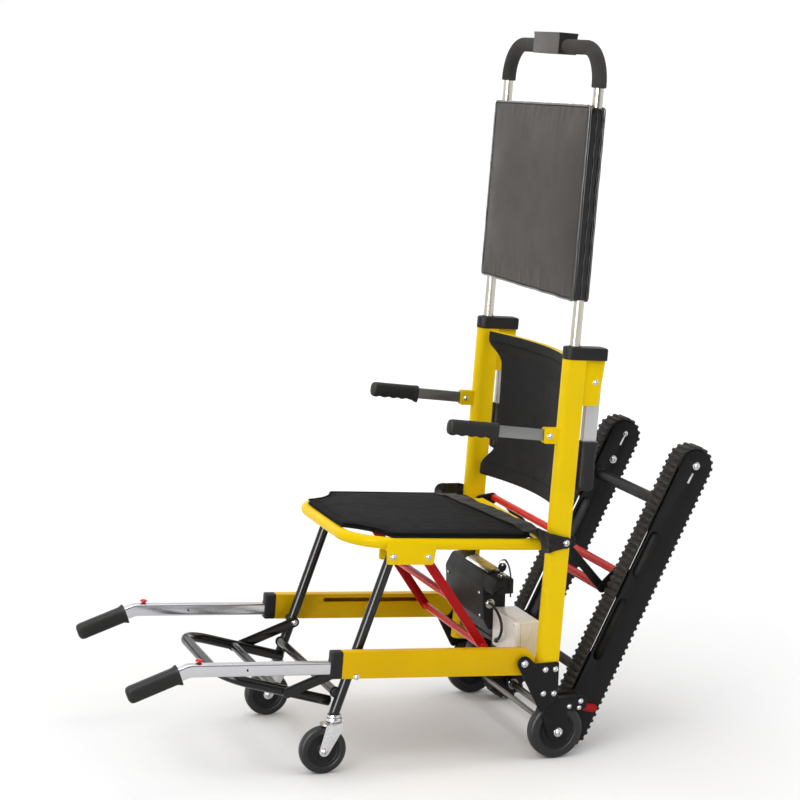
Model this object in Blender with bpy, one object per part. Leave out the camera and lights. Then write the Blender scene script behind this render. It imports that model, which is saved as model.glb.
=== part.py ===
"""Stair climbing wheelchair: a folding transport chair with powered tracks.

Metres, +Z up. -Y is the front of the chair and +X is the occupant's left.
The origin lies on the floor under the middle of the chair's box.
"""
import math

import bmesh
import bpy
from mathutils import Matrix, Vector

# Running clearances
GAP = 0.0003
SLIDE_GAP = 0.0004

# Back posts, which stand clear of the tracks between them
TRACK_SPACING = 0.360
TRACK_TO_POST = 0.060
POST_SPACING = TRACK_SPACING + 2 * TRACK_TO_POST
POST_WIDTH = 0.035
POST_DEPTH = 0.047
POST_WALL = 0.002
POST_LENGTH = 0.726
POST_LEAN = math.radians(3.4)
POST_FOOT_Y = -0.0286
POST_FOOT_Z = 0.135
POST_NOSE_RADIUS = 0.013
POST_HEEL_RADIUS = 0.005
CAP_HEIGHT = 0.026
CAP_REAR = 0.070
CAP_LIP = 0.002

# Arms, hinged in front of the posts
ARM_HEIGHT = 0.564
ARM_PIVOT_REACH = 0.018
ARM_RISE = math.radians(6.8)
ARM_BAR_TALL = 0.020
ARM_BAR_WIDE = 0.010
ARM_BAR_LENGTH = 0.215
ARM_GRIP_START = 0.118
ARM_GRIP_LENGTH = 0.109
ARM_GRIP_TALL = 0.033
ARM_GRIP_WIDE = 0.026
CHEEK = 0.003

# Carry handles, hinged behind the posts
CARRY_HEIGHT = 0.680
CARRY_PIVOT_REACH = 0.0265
CARRY_BAR_DEEP = 0.030
CARRY_BAR_WIDE = 0.016
CARRY_BAR_LENGTH = 0.205
CARRY_GRIP_START = 0.127
CARRY_GRIP_LENGTH = 0.105
CARRY_GRIP_DEEP = 0.038
CARRY_GRIP_WIDE = 0.028
CARRY_BRACKET_LOW = 0.050
CARRY_BRACKET_REACH = 0.0445

# Telescopic push handle and headrest
HANDLE_TUBE = 0.022
HANDLE_WALL = 0.0015
HANDLE_TOP = 1.367
HANDLE_TAIL = 0.150
HANDLE_CORNER = 0.075
SLEEVE_DIAMETER = 0.031
SLEEVE_START = 1.286
BOX_LENGTH = 0.130
BOX_DEEP = 0.044
BOX_TALL = 0.044
ROCKER_LENGTH = 0.034
ROCKER_TALL = 0.018
ROCKER_DEEP = 0.005
ROCKER_SEAT = 0.0025
PAD_LOW = 0.845
PAD_HIGH = 1.245
PAD_OVERHANG = 0.016
PAD_EDGE = 0.033
PAD_CROWN = 0.006

# Backrest
BACK_BAR = 0.020
BACK_BAR_HEIGHT = 0.712
BACK_BAR_OFFSET = 0.006
BACK_BOW = 0.040
SLING_LOW = 0.392
SLING_THICK = 0.004
SLING_WAIST = 0.172

# Seat, hinged between the posts
SEAT_HEIGHT = 0.3234
SEAT_HINGE_OFFSET = 0.0134
SEAT_TILT = math.radians(3.6)
SEAT_DEPTH = 0.452
SEAT_TO_POST = 0.035
SEAT_WIDTH = POST_SPACING - 2 * SEAT_TO_POST
SEAT_TUBE = 0.025
SEAT_CORNER = 0.100
SEAT_HINGE_BAR = 0.022
PANEL_THICK = 0.012
PANEL_CROWN = 0.004
PANEL_INSET = 0.005
PANEL_SHOULDER = 0.975
PANEL_FLAT = 0.6
PANEL_REAR = 0.052
PANEL_CORNER = 0.075
PANEL_FRONT_HALF = SEAT_WIDTH / 2 - PANEL_CORNER
PANEL_CURVE = 0.118
PANEL_BITE = 0.010
PANEL_REAR_CUT = 0.025
BELT_WIDTH = 0.046
BELT_THICK = 0.0025
BELT_PLACE = 0.076
BELT_SWAY = 0.028

# Seat bracket, with the pivots of the leg and of the brace
LEG_REACH = 0.3698
PIVOT_DROP = 0.0255
BRACE_REACH = 0.2912
BRACKET_HEAD = 0.0145
BRACKET_END = 0.014
BRACKET_LOW = 0.042
BRACKET_OVERHANG = 0.0145
BRACKET_SET_IN = 0.035
BRACKET_OUT = SEAT_WIDTH / 2 + BRACKET_OVERHANG
BRACKET_IN = SEAT_WIDTH / 2 - BRACKET_SET_IN
BRACKET_RISE = 0.006

# Seat brace
BRACE_LENGTH = 0.2587
BRACE_BAR_THICK = 0.006
BRACE_BAR_WIDE = 0.020
BRACE_ROD = 0.016
BRACE_RUNG = 0.124

# Side rails, hinged at the base plates
RAIL_PIVOT_Y = -0.082
RAIL_PIVOT_Z = 0.217
RAIL_SLOPE = math.radians(3.4)
RAIL_LENGTH = 0.402
RAIL_HEIGHT = 0.056
RAIL_WIDTH = 0.025
RAIL_WALL = 0.002
RAIL_CAP_LENGTH = 0.0235
RAIL_SLOT_LEAD = 0.003
RAIL_SLOT_LENGTH = 0.226
RAIL_SLOT_RISE = 0.015
RAIL_SLOT_HEIGHT = 0.009

# Sliding carry tubes in the rails
SLIDE_TALL = 0.027
SLIDE_WIDE = 0.0195
SLIDE_DROP = 0.0065
SLIDE_INNER = 0.310
SLIDE_BEND = 0.722
SLIDE_END = 0.840
SLIDE_BEND_ANGLE = math.radians(22.5)
SLIDE_GRIP_START = 0.022
SLIDE_GRIP_LENGTH = 0.112
SLIDE_GRIP_TALL = 0.037
SLIDE_GRIP_WIDE = 0.029
BUTTON_PLACE = 0.703
BUTTON_DIAMETER = 0.0072
BUTTON_CAP = 0.0164
BUTTON_CAP_TALL = 0.005
BUTTON_STEM = 0.006
BUTTON_TRAVEL = 0.0035
BUTTON_LIFT = 0.0007

# Front legs and casters
LEG_TO_RAIL = 0.035
LEG_SPACING = POST_SPACING - 2 * LEG_TO_RAIL
LEG_TUBE = 0.022
LEG_HEAD = 0.004
LEG_STEM_DROP = 0.088
LEG_STEM_LOW = 0.110
LEG_BAR = 0.019
LEG_BAR_DROP = 0.046
CASTER_RADIUS = 0.050
CASTER_WIDTH = 0.024
CASTER_TRAIL = 0.0245
CASTER_HUB = 0.015
CASTER_RIM = 0.034
CASTER_CHEEK = 0.003
CASTER_NECK = 0.014
CASTER_AXLE = 0.010
FORK_PLAY = 0.0015

# Footrest, hinged on the rail and leg pivot
FOOT_TUBE = 0.022
FOOT_SET_IN = 0.035
FOOT_HALF = LEG_SPACING / 2 - FOOT_SET_IN
FOOT_SLOPE = math.radians(16.8)
FOOT_DROP = 0.0725
FOOT_REAR = 0.031
FOOT_FRONT = 0.278
FOOT_CORNER = 0.070
FOOT_RUNG = 0.150
FOOT_ARM_THICK = 0.005
FOOT_ARM_WIDE = 0.022
FOOT_ARM_PLACE = 0.130

# Rear wheels, forks and base plates
WHEEL_RADIUS = 0.060
WHEEL_WIDTH = 0.028
WHEEL_AXLE = 0.010
WHEEL_HUB = 0.016
WHEEL_RIM = 0.038
PLATE = 0.004
FORK_INNER_PLATE = 0.0035
FORK_HUB_RADIUS = 0.024
AXLE_ROD = 0.012

# Tracks
TRACK_DRIVE_Y = 0.056
TRACK_DRIVE_Z = 0.049
TRACK_LEAN = math.radians(25.7)
TRACK_CENTRES = 0.623
TRACK_PIVOT_Y = 0.0505
TRACK_PIVOT_Z = 0.1205
BELT_RADIUS = 0.0370
BELT_BODY = 0.0035
RIB_HEIGHT = 0.0045
RIB_PITCH = 0.0145
TRACK_BELT_WIDTH = 0.050
PULLEY_GAP = 0.0004
BELT_BENDS = 10
BELT_RUNS = 6
SIDE_PLATE = 0.004
SIDE_PLATE_GAP = 0.0012
SIDE_PLATE_RADIUS = 0.0345
BEAM_OFFSET = 0.0165
BEAM_WIDTH = 0.034
BEAM_WALL = 0.003
BEAM_START = 0.055
BEAM_STOP = 0.060
WINDOW_LOW = 0.155
WINDOW_MID_LOW = 0.300
WINDOW_MID_HIGH = 0.352
WINDOW_HIGH = 0.460
WINDOW_WIDTH = 0.024
WINDOW_OFFSET = 0.018
SHAFT = 0.016
SHAFT_CLEAR = 0.0004
CROSSBAR = 0.026
CROSSBAR_PLACE = 0.522
CROSSBAR_OFFSET = 0.012
LOW_BAR = 0.022
LOW_BAR_PLACE = 0.114

# Track stay
STAY_PLACE = 0.344
STAY_OFFSET = 0.0225
STAY_TUBE = 0.019
STAY_BAR_THICK = 0.005
STAY_BAR_WIDE = 0.020
STAY_BAR_INSET = 0.014
STAY_KNEE_Y = 0.150
STAY_KNEE_Z = 0.335
STAY_HEAD_Y = 0.034
STAY_HEAD_Z = 0.468
STAY_HEAD_TUBE = 0.016
STAY_TAB = 0.005

# Track lock lever
LEVER_PIVOT_Y = 0.052
LEVER_PIVOT_Z = 0.101
LEVER_LENGTH = 0.050
LEVER_DROP = math.radians(12.0)
LEVER_THICK = 0.004

# Drive unit between the posts
CROSS_SIZE = 0.025
CROSS_EDGE = 0.003
CROSS_Z = 0.180
HOUSING_LEFT = 0.110
HOUSING_RIGHT = 0.170
HOUSING_STEP = 0.060
HOUSING_FRONT = 0.100
HOUSING_DEEP = 0.052
HOUSING_LOW = 0.236
HOUSING_HIGH = 0.362
HOUSING_OVERHANG = 0.328
MOTOR_RADIUS = 0.031
MOTOR_LEFT = 0.112
MOTOR_LENGTH = 0.150
MOTOR_DROP = 0.0108
BATTERY_LEFT = 0.195
BATTERY_LENGTH = 0.130
BATTERY_DEEP = 0.054
BATTERY_FRONT = 0.077
BATTERY_TALL = 0.084
BATTERY_LOW = 0.205
BATTERY_LID = 0.011
TRAY = 0.004
LEAD = 0.006
LEAD_SWING = 0.84
LEAD_RISE = 0.020
UPRIGHT_HIGH = 0.318
HANGER_LAP = 0.008
HANGER_HIGH = 0.425
KEY_X = 0.082
KEY_BACK = 0.017

SEGMENTS = 10


# Derived places, as (y, z) before the chair is centred on its origin
def turned(angle, y, z):
    """Turn a (y, z) pair about X."""
    c = math.cos(angle)
    s = math.sin(angle)
    return (y * c - z * s, y * s + z * c)


def on_post(offset, height):
    """A place on the back frame, from the foot of the posts."""
    y, z = turned(-POST_LEAN, offset, height)
    return (POST_FOOT_Y + y, POST_FOOT_Z + z)


HALF = POST_SPACING / 2
PAD_HALF_WIDTH = HALF + PAD_OVERHANG
POST_IN = HALF - POST_WIDTH / 2
POST_OUT = HALF + POST_WIDTH / 2
RAIL_IN = HALF - RAIL_WIDTH / 2
RAIL_OUT = HALF + RAIL_WIDTH / 2
SEAT_HINGE = on_post(SEAT_HINGE_OFFSET, SEAT_HEIGHT)
RAIL_PIVOT = (RAIL_PIVOT_Y, RAIL_PIVOT_Z)
LEG_STEP = turned(-SEAT_TILT, -LEG_REACH, -PIVOT_DROP)
LEG_PIVOT = (RAIL_PIVOT[0] + LEG_STEP[0], RAIL_PIVOT[1] + LEG_STEP[1])
LEG_TOP = (SEAT_HINGE[0] - RAIL_PIVOT[0], SEAT_HINGE[1] - RAIL_PIVOT[1])
BRACE_STEP = turned(-SEAT_TILT, -BRACE_REACH, -PIVOT_DROP)
BRACE_PIVOT = (SEAT_HINGE[0] + BRACE_STEP[0], SEAT_HINGE[1] + BRACE_STEP[1])
BRACE_OVER_RAIL = turned(RAIL_SLOPE, BRACE_PIVOT[0] - RAIL_PIVOT[0], BRACE_PIVOT[1] - RAIL_PIVOT[1])
BRACE_LEAN = math.acos((BRACE_OVER_RAIL[1] - RAIL_SLOT_RISE) / BRACE_LENGTH)
BRACE_ANGLE = BRACE_LEAN - RAIL_SLOPE
RAIL_SLOT_START = -BRACE_OVER_RAIL[0] - BRACE_LENGTH * math.sin(BRACE_LEAN) - RAIL_SLOT_LEAD
RAIL_SLOT_END = RAIL_SLOT_START + RAIL_SLOT_LENGTH
ARM_PIVOT_OFFSET = -POST_DEPTH / 2 - ARM_PIVOT_REACH
CARRY_PIVOT_OFFSET = POST_DEPTH / 2 + CARRY_PIVOT_REACH
MOTOR_Z = CROSS_Z - MOTOR_DROP
TRACK_HALF = TRACK_SPACING / 2
BELT_OUT = TRACK_HALF + TRACK_BELT_WIDTH / 2
BELT_IN = TRACK_HALF - TRACK_BELT_WIDTH / 2
TRACK_OUT = BELT_OUT + SIDE_PLATE_GAP + SIDE_PLATE
TRACK_IN = BELT_IN - SIDE_PLATE_GAP - SIDE_PLATE


def on_track(offset, along):
    """A place on the track, from the drive shaft."""
    y, z = turned(-TRACK_LEAN, offset, along)
    return (TRACK_DRIVE_Y + y, TRACK_DRIVE_Z + z)


# Outlines
def circle(radius, count=SEGMENTS, start=0.0):
    step = 2 * math.pi / count
    return [(radius * math.cos(start + i * step), radius * math.sin(start + i * step)) for i in range(count)]


def bore_size(diameter, gap, count=SEGMENTS):
    """The size of a many-sided hole whose flats clear a round bar by a gap."""
    return (diameter + 2 * gap) / math.cos(math.pi / count)


def rounded(width, height, radius, count=3):
    """A rectangle about (0, 0) with rounded corners."""
    return round_corners([
        (width / 2, height / 2, radius),
        (-width / 2, height / 2, radius),
        (-width / 2, -height / 2, radius),
        (width / 2, -height / 2, radius),
    ], count)


def round_corners(corners, count=3):
    """Round each corner (u, v, radius) of a closed outline."""
    points = []
    total = len(corners)
    for i in range(total):
        here = Vector(corners[i][:2])
        radius = corners[i][2]
        back = (Vector(corners[i - 1][:2]) - here).normalized()
        ahead = (Vector(corners[(i + 1) % total][:2]) - here).normalized()
        if radius <= 0:
            points.append((here.x, here.y))
            continue
        half = back.angle(ahead) / 2
        reach = radius / math.tan(half)
        centre = here + (back + ahead).normalized() * (radius / math.sin(half))
        first = here + back * reach - centre
        last = here + ahead * reach - centre
        turn = first.angle_signed(last)
        for k in range(count + 1):
            spin = Matrix.Rotation(-turn * k / count, 2)
            point = centre + spin @ first
            points.append((point.x, point.y))
    return points


def hull_outline(rounds, count=12):
    """The outline of a belt drawn tight round circles (u, v, radius)."""
    cloud = []
    for u, v, radius in rounds:
        for p, q in circle(radius, count, math.pi / count):
            cloud.append((u + p, v + q))
    cloud = sorted(set(cloud))

    def half(points):
        chain = []
        for p in points:
            while len(chain) > 1:
                a = chain[-2]
                b = chain[-1]
                if (b[0] - a[0]) * (p[1] - a[1]) - (b[1] - a[1]) * (p[0] - a[0]) > 1e-12:
                    break
                chain.pop()
            chain.append(p)
        return chain[:-1]

    return half(cloud) + half(cloud[::-1])


# Solids
def finish(shape, name):
    bmesh.ops.recalc_face_normals(shape, faces=shape.faces)
    mesh = bpy.data.meshes.new(name)
    shape.to_mesh(mesh)
    shape.free()
    return mesh


def skin(rings, name, closed_path=False, hollow=None):
    """Join rings of equal count into a solid, with an optional bore of rings."""
    shape = bmesh.new()

    def wall(stack):
        made = [[shape.verts.new(p) for p in ring] for ring in stack]
        pairs = list(zip(made, made[1:]))
        if closed_path:
            pairs.append((made[-1], made[0]))
        for low, high in pairs:
            for i in range(len(low)):
                k = (i + 1) % len(low)
                shape.faces.new((low[i], low[k], high[k], high[i]))
        return made

    outer = wall(rings)
    if hollow is None:
        if not closed_path:
            shape.faces.new(outer[0])
            shape.faces.new(outer[-1])
        return finish(shape, name)
    inner = wall(hollow)
    for end in (0, -1):
        around = outer[end]
        bore = inner[end]
        for i in range(len(around)):
            k = (i + 1) % len(around)
            shape.faces.new((around[i], around[k], bore[k], bore[i]))
    return finish(shape, name)


def bend(points, steps=5):
    """A path through points (Vector, corner radius), rounded at its corners."""
    path = [points[0][0]]
    for before, (here, radius), after in zip(points, points[1:], points[2:]):
        back = (before[0] - here).normalized()
        ahead = (after[0] - here).normalized()
        half = back.angle(ahead) / 2
        reach = radius / math.tan(half)
        centre = here + (back + ahead).normalized() * (radius / math.sin(half))
        first = here + back * reach - centre
        axis = first.cross(here + ahead * reach - centre).normalized()
        for k in range(steps + 1):
            path.append(centre + Matrix.Rotation((math.pi - 2 * half) * k / steps, 3, axis) @ first)
    path.append(points[-1][0])
    return path


def rings_along(path, section, across):
    """Place a section (u, v) square to a flat path; u lies along the vector across."""
    rings = []
    for i, here in enumerate(path):
        tangent = (path[min(i + 1, len(path) - 1)] - path[max(i - 1, 0)]).normalized()
        if 0 < i < len(path) - 1:
            tangent = ((path[i + 1] - here).normalized() + (here - path[i - 1]).normalized()).normalized()
        u = (across - tangent * across.dot(tangent)).normalized()
        v = tangent.cross(u)
        rings.append([here + u * p + v * q for p, q in section])
    return rings


def rod(path, diameter, name, across=None, bore=0.0, count=SEGMENTS):
    """A round bar or tube along a path of points."""
    side = across or Vector((1, 0, 0))
    hollow = rings_along(path, circle(bore / 2, count), side) if bore else None
    return skin(rings_along(path, circle(diameter / 2, count), side), name, hollow=hollow)


def cross_rod(half, y, z, diameter, name, count=SEGMENTS):
    """A round bar across the chair."""
    path = [Vector((-half, y, z)), Vector((half, y, z))]
    return rod(path, diameter, name, across=Vector((0, 0, 1)), count=count)


def plate(outline, low, high, name):
    """A flat outline (y, z) made thick from x = low to x = high."""
    return skin([[(x, y, z) for y, z in outline] for x in (low, high)], name)


def block(x, y, z, name, radius=0.0):
    """A box between pairs of limits, with the edges along x rounded."""
    outline = rounded(y[1] - y[0], z[1] - z[0], radius) if radius else rounded_flat(y[1] - y[0], z[1] - z[0])
    middle = ((y[0] + y[1]) / 2, (z[0] + z[1]) / 2)
    return plate([(middle[0] + u, middle[1] + v) for u, v in outline], x[0], x[1], name)


def rounded_flat(width, height):
    return [(width / 2, height / 2), (-width / 2, height / 2), (-width / 2, -height / 2), (width / 2, -height / 2)]


def turn_x(profile, name, count):
    """Turn a closed profile (radius, x) about the X axis, with a flat at the bottom on each radius."""
    rings = []
    flat = math.cos(math.pi / count)
    for k in range(count):
        angle = -math.pi / 2 + 2 * math.pi * (k + 0.5) / count
        rings.append([(x, r / flat * math.cos(angle), r / flat * math.sin(angle)) for r, x in profile])
    return skin(rings, name, closed_path=True)


def combine(operation, base, *tools):
    """Cut or join meshes with exact Booleans."""
    scene = bpy.context.scene.collection
    target = bpy.data.objects.new("target", base)
    scene.objects.link(target)
    helpers = []
    for mesh in tools:
        helper = bpy.data.objects.new("tool", mesh)
        scene.objects.link(helper)
        helpers.append(helper)
        step = target.modifiers.new("step", "BOOLEAN")
        step.operation = operation
        step.solver = "EXACT"
        step.object = helper
    graph = bpy.context.evaluated_depsgraph_get()
    result = bpy.data.meshes.new_from_object(target.evaluated_get(graph))
    result.name = base.name
    for helper in helpers + [target]:
        bpy.data.objects.remove(helper)
    shape = bmesh.new()
    shape.from_mesh(result)
    bmesh.ops.remove_doubles(shape, verts=shape.verts, dist=1e-6)
    bmesh.ops.dissolve_degenerate(shape, dist=1e-6, edges=shape.edges)
    shape.to_mesh(result)
    shape.free()
    return result


def join(base, *tools):
    return combine("UNION", base, *tools)


def cut(base, *tools):
    return combine("DIFFERENCE", base, *tools)


def moved(mesh, x=0.0, y=0.0, z=0.0, tilt=0.0):
    mesh.transform(Matrix.Translation((x, y, z)) @ Matrix.Rotation(tilt, 4, "X"))
    return mesh


def mirrored(mesh, side):
    """The left piece, or its mirror image for the right side."""
    if side > 0:
        return mesh
    copy = mesh.copy()
    copy.transform(Matrix.Scale(-1, 4, (1, 0, 0)))
    copy.flip_normals()
    return copy


# Materials and placing
PAINTS = {
    "yellow": ((0.80, 0.48, 0.0), 0.38, 0.0),
    "black": ((0.02, 0.02, 0.022), 0.42, 0.1),
    "plastic": ((0.025, 0.025, 0.027), 0.5, 0.0),
    "rubber": ((0.018, 0.018, 0.018), 0.75, 0.0),
    "fabric": ((0.02, 0.02, 0.022), 0.9, 0.0),
    "vinyl": ((0.10, 0.085, 0.075), 0.35, 0.0),
    "chrome": ((0.75, 0.75, 0.76), 0.12, 1.0),
    "steel": ((0.55, 0.55, 0.56), 0.3, 1.0),
    "grey": ((0.30, 0.30, 0.31), 0.4, 0.3),
    "red": ((0.55, 0.03, 0.02), 0.35, 0.0),
    "white": ((0.80, 0.79, 0.76), 0.4, 0.0),
}


def add(name, mesh, paint, parent):
    colour, rough, metal = PAINTS[paint]
    surface = bpy.data.materials.new(name + "_" + paint)
    surface.use_nodes = True
    shader = surface.node_tree.nodes["Principled BSDF"]
    shader.inputs["Base Color"].default_value = (*colour, 1.0)
    shader.inputs["Roughness"].default_value = rough
    shader.inputs["Metallic"].default_value = metal
    mesh.materials.clear()
    mesh.materials.append(surface)
    mesh.shade_smooth()
    mesh.set_sharp_from_angle(angle=math.radians(32))
    piece = bpy.data.objects.new(name, mesh)
    piece.parent = parent
    bpy.context.scene.collection.objects.link(piece)
    return piece


def axis(name, parent, place, tilt=0.0, x=0.0):
    """An empty on a joint's axis."""
    mark = bpy.data.objects.new(name, None)
    mark.parent = parent
    mark.location = (x, place[0], place[1])
    mark.rotation_euler = (tilt, 0.0, 0.0)
    bpy.context.scene.collection.objects.link(mark)
    return mark


SIDES = (("left", 1), ("right", -1))


# Back frame
def post_section(inset):
    width = POST_WIDTH / 2 - inset
    depth = POST_DEPTH / 2 - inset
    nose = POST_NOSE_RADIUS - inset
    heel = POST_HEEL_RADIUS - inset
    return round_corners([(width, depth, heel), (-width, depth, heel), (-width, -depth, nose), (width, -depth, nose)], 2)


def make_post(side):
    run = [Vector((HALF, 0, 0)), Vector((HALF, 0, POST_LENGTH))]
    outer = [[(p.x + u, v, p.z) for u, v in post_section(0)] for p in run]
    inner = [[(p.x + u, v, p.z) for u, v in post_section(POST_WALL)] for p in run]
    post = skin(outer, "post", hollow=inner)
    root = POST_WALL * 0.75
    reach = ARM_BAR_WIDE / 2 + SLIDE_GAP + CHEEK - 0.0002
    arm_web = block((HALF - reach, HALF + reach), (-POST_DEPTH / 2 - 0.004, -POST_DEPTH / 2 + root),
                    (ARM_HEIGHT - 0.015, ARM_HEIGHT + 0.013), "arm_web")
    arm_ears = []
    added = []
    for hand in (1, -1):
        near = HALF + hand * (ARM_BAR_WIDE / 2 + SLIDE_GAP)
        far = near + hand * CHEEK
        ear = hull_outline([
            (ARM_PIVOT_OFFSET, ARM_HEIGHT, ARM_BAR_TALL / 2 + 0.0015),
            (-POST_DEPTH / 2 - 0.005, ARM_HEIGHT + 0.010, 0.004),
            (-POST_DEPTH / 2 - 0.005, ARM_HEIGHT - 0.012, 0.004),
        ])
        arm_ears.append(plate(ear, min(near, far), max(near, far), "arm_ear"))
        near = HALF + hand * (CARRY_BAR_WIDE / 2 + SLIDE_GAP)
        far = near + hand * CHEEK
        start = POST_DEPTH / 2 - root
        stop = POST_DEPTH / 2 + CARRY_BRACKET_REACH
        low = CARRY_HEIGHT - CARRY_BRACKET_LOW
        ear = round_corners([
            (start, low, 0), (stop - 0.008, low, 0.006), (stop, POST_LENGTH, 0.003), (start, POST_LENGTH, 0),
        ])
        added.append(plate(ear, min(near, far), max(near, far), "carry_ear"))
    tab = hull_outline([
        (SEAT_HINGE_OFFSET, SEAT_HEIGHT, SEAT_HINGE_BAR / 2 + 0.0065),
        (POST_DEPTH / 2 + 0.017, SEAT_HEIGHT + 0.010, 0.013),
    ])
    inner_tab = plate(tab, POST_IN - STAY_TAB, POST_IN + root, "stay_tab")
    bore = moved(cross_rod(0.01, 0, 0, bore_size(SEAT_HINGE_BAR, SLIDE_GAP), "hinge_bore"), x=POST_IN - 0.007, y=SEAT_HINGE_OFFSET,
                 z=SEAT_HEIGHT)
    limit = block((POST_IN - 0.02, POST_IN - 0.0002), (-0.1, 0.1), (SEAT_HEIGHT - 0.1, SEAT_HEIGHT + 0.1), "limit")
    bore = combine("INTERSECT", bore, limit)
    added.append(cut(inner_tab, bore))
    added.append(join(arm_web, *arm_ears))
    return mirrored(join(post, *added), side)


def make_cap(side):
    low = POST_LENGTH + GAP
    width = POST_WIDTH + 2 * CAP_LIP
    front = -POST_DEPTH / 2 - CAP_LIP
    middle = (front + CAP_REAR) / 2
    length = CAP_REAR - front
    rings = []
    for inset, z in ((0, low), (0, low + CAP_HEIGHT - 0.003), (0.003, low + CAP_HEIGHT)):
        outline = rounded(width - 2 * inset, length - 2 * inset, POST_HEEL_RADIUS)
        rings.append([(HALF + u, middle + v, z) for u, v in outline])
    bore = rod([Vector((HALF, 0, low - 0.01)), Vector((HALF, 0, low + CAP_HEIGHT + 0.01))],
               bore_size(HANDLE_TUBE, SLIDE_GAP), "bore")
    return mirrored(cut(skin(rings, "cap"), bore), side)


def bow(x):
    """How far the backrest curves back at a place across the chair."""
    return BACK_BOW * (1 - (x / POST_IN) ** 2)


def make_back_bar():
    reach = POST_IN - GAP
    path = []
    steps = 10
    for k in range(steps + 1):
        x = -reach + 2 * reach * k / steps
        path.append(Vector((x, BACK_BAR_OFFSET + bow(x), BACK_BAR_HEIGHT)))
    rings = []
    for ring in rings_along(path, circle(BACK_BAR / 2, 10), Vector((0, 0, 1))):
        rings.append([(max(-reach, min(reach, p.x)), p.y, p.z) for p in ring])
    return skin(rings, "bar")


def make_sling():
    """A sheet hung from the bar, drawn in at its waist, with a rolled lower hem."""
    high = BACK_BAR_HEIGHT - BACK_BAR / 2 - GAP
    columns = 10
    rows = 9
    reach = POST_IN - GAP

    def place(i, j):
        v = j / rows
        z = SLING_LOW + (high - SLING_LOW) * v
        half = SLING_WAIST + (reach - SLING_WAIST) * abs(2 * v - 1) ** 2.2
        x = half * (2 * i / columns - 1)
        sag = 0.012 * math.sin(math.pi * v) * (1 - (x / reach) ** 2)
        thick = SLING_THICK / 2 + 0.006 * math.exp(-((v / 0.05) ** 2))
        return x, BACK_BAR_OFFSET + bow(x) + sag, z, thick

    rings = []
    for j in range(rows + 1):
        front = []
        rear = []
        for i in range(columns + 1):
            x, y, z, thick = place(i, j)
            front.append((x, y - SLING_THICK / 2, z))
            rear.append((x, y + thick, z))
        rings.append(front + rear[::-1])
    return skin(rings, "sling")


# Head
def handle_path(low):
    side = HALF
    return bend([
        (Vector((-side, 0, low)), 0),
        (Vector((-side, 0, HANDLE_TOP)), HANDLE_CORNER),
        (Vector((side, 0, HANDLE_TOP)), HANDLE_CORNER),
        (Vector((side, 0, low)), 0),
    ], 3)


def make_handle():
    path = handle_path(POST_LENGTH - HANDLE_TAIL)
    return rod(path, HANDLE_TUBE, "handle", across=Vector((0, 1, 0)), bore=HANDLE_TUBE - 2 * HANDLE_WALL, count=10)


def make_sleeve():
    path = handle_path(SLEEVE_START)
    return rod(path, SLEEVE_DIAMETER, "sleeve", across=Vector((0, 1, 0)), bore=HANDLE_TUBE + 2 * GAP, count=10)


def make_box():
    rings = []
    for inset, x in ((0.004, -BOX_LENGTH / 2), (0, -BOX_LENGTH / 2 + 0.004), (0, BOX_LENGTH / 2 - 0.004),
                     (0.004, BOX_LENGTH / 2)):
        outline = rounded(BOX_DEEP - 2 * inset, BOX_TALL - 2 * inset, 0.006)
        rings.append([(x, u, HANDLE_TOP + v) for u, v in outline])
    bore = cross_rod(BOX_LENGTH, 0, HANDLE_TOP, bore_size(SLEEVE_DIAMETER, GAP), "bore")
    recess = block(
        (-ROCKER_LENGTH / 2 - 0.001, ROCKER_LENGTH / 2 + 0.001),
        (BOX_DEEP / 2 - ROCKER_SEAT, BOX_DEEP / 2 + 0.01),
        (HANDLE_TOP - ROCKER_TALL / 2 - 0.001, HANDLE_TOP + ROCKER_TALL / 2 + 0.001), "recess")
    return cut(skin(rings, "box"), bore, recess)


def make_rocker():
    """A shallow V that tips on its middle line."""
    tall = ROCKER_TALL / 2
    outline = [(GAP, 0), (0.0016, -tall), (ROCKER_DEEP, -tall), (ROCKER_DEEP - 0.0012, 0), (ROCKER_DEEP, tall),
               (0.0016, tall)]
    return plate(outline, -ROCKER_LENGTH / 2, ROCKER_LENGTH / 2, "rocker")


def make_pad():
    """A crowned pad sewn round the two handle tubes."""
    rings = []
    steps = 6
    for k in range(steps + 1):
        v = k / steps
        z = PAD_LOW + (PAD_HIGH - PAD_LOW) * v
        swell = math.sin(math.pi * v) ** 0.5 if 0 < v < 1 else 0.0
        ring = []
        half = PAD_HALF_WIDTH - 0.004 * (1 - swell)
        thick = PAD_EDGE / 2 - 0.002 * (1 - swell)
        for u, w in rounded(2 * half, 2 * thick, thick * 0.9, 3):
            ring.append((u, w, z))
        count = len(ring)
        crowned = []
        for i in range(count):
            a = Vector(ring[i])
            b = Vector(ring[(i + 1) % count])
            pieces = 6 if (b - a).length > 0.1 else 1
            for s in range(pieces):
                p = a.lerp(b, s / pieces)
                rise = PAD_CROWN * swell * (1 - (p.x / half) ** 2)
                crowned.append((p.x, p.y + math.copysign(rise, p.y), p.z))
        rings.append(crowned)
    pad = skin(rings, "pad")
    bores = []
    for side in (1, -1):
        ends = [Vector((side * HALF, 0, PAD_LOW - 0.02)), Vector((side * HALF, 0, PAD_HIGH + 0.02))]
        bores.append(rod(ends, bore_size(HANDLE_TUBE, GAP), "bore"))
    return cut(pad, *bores)


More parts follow.
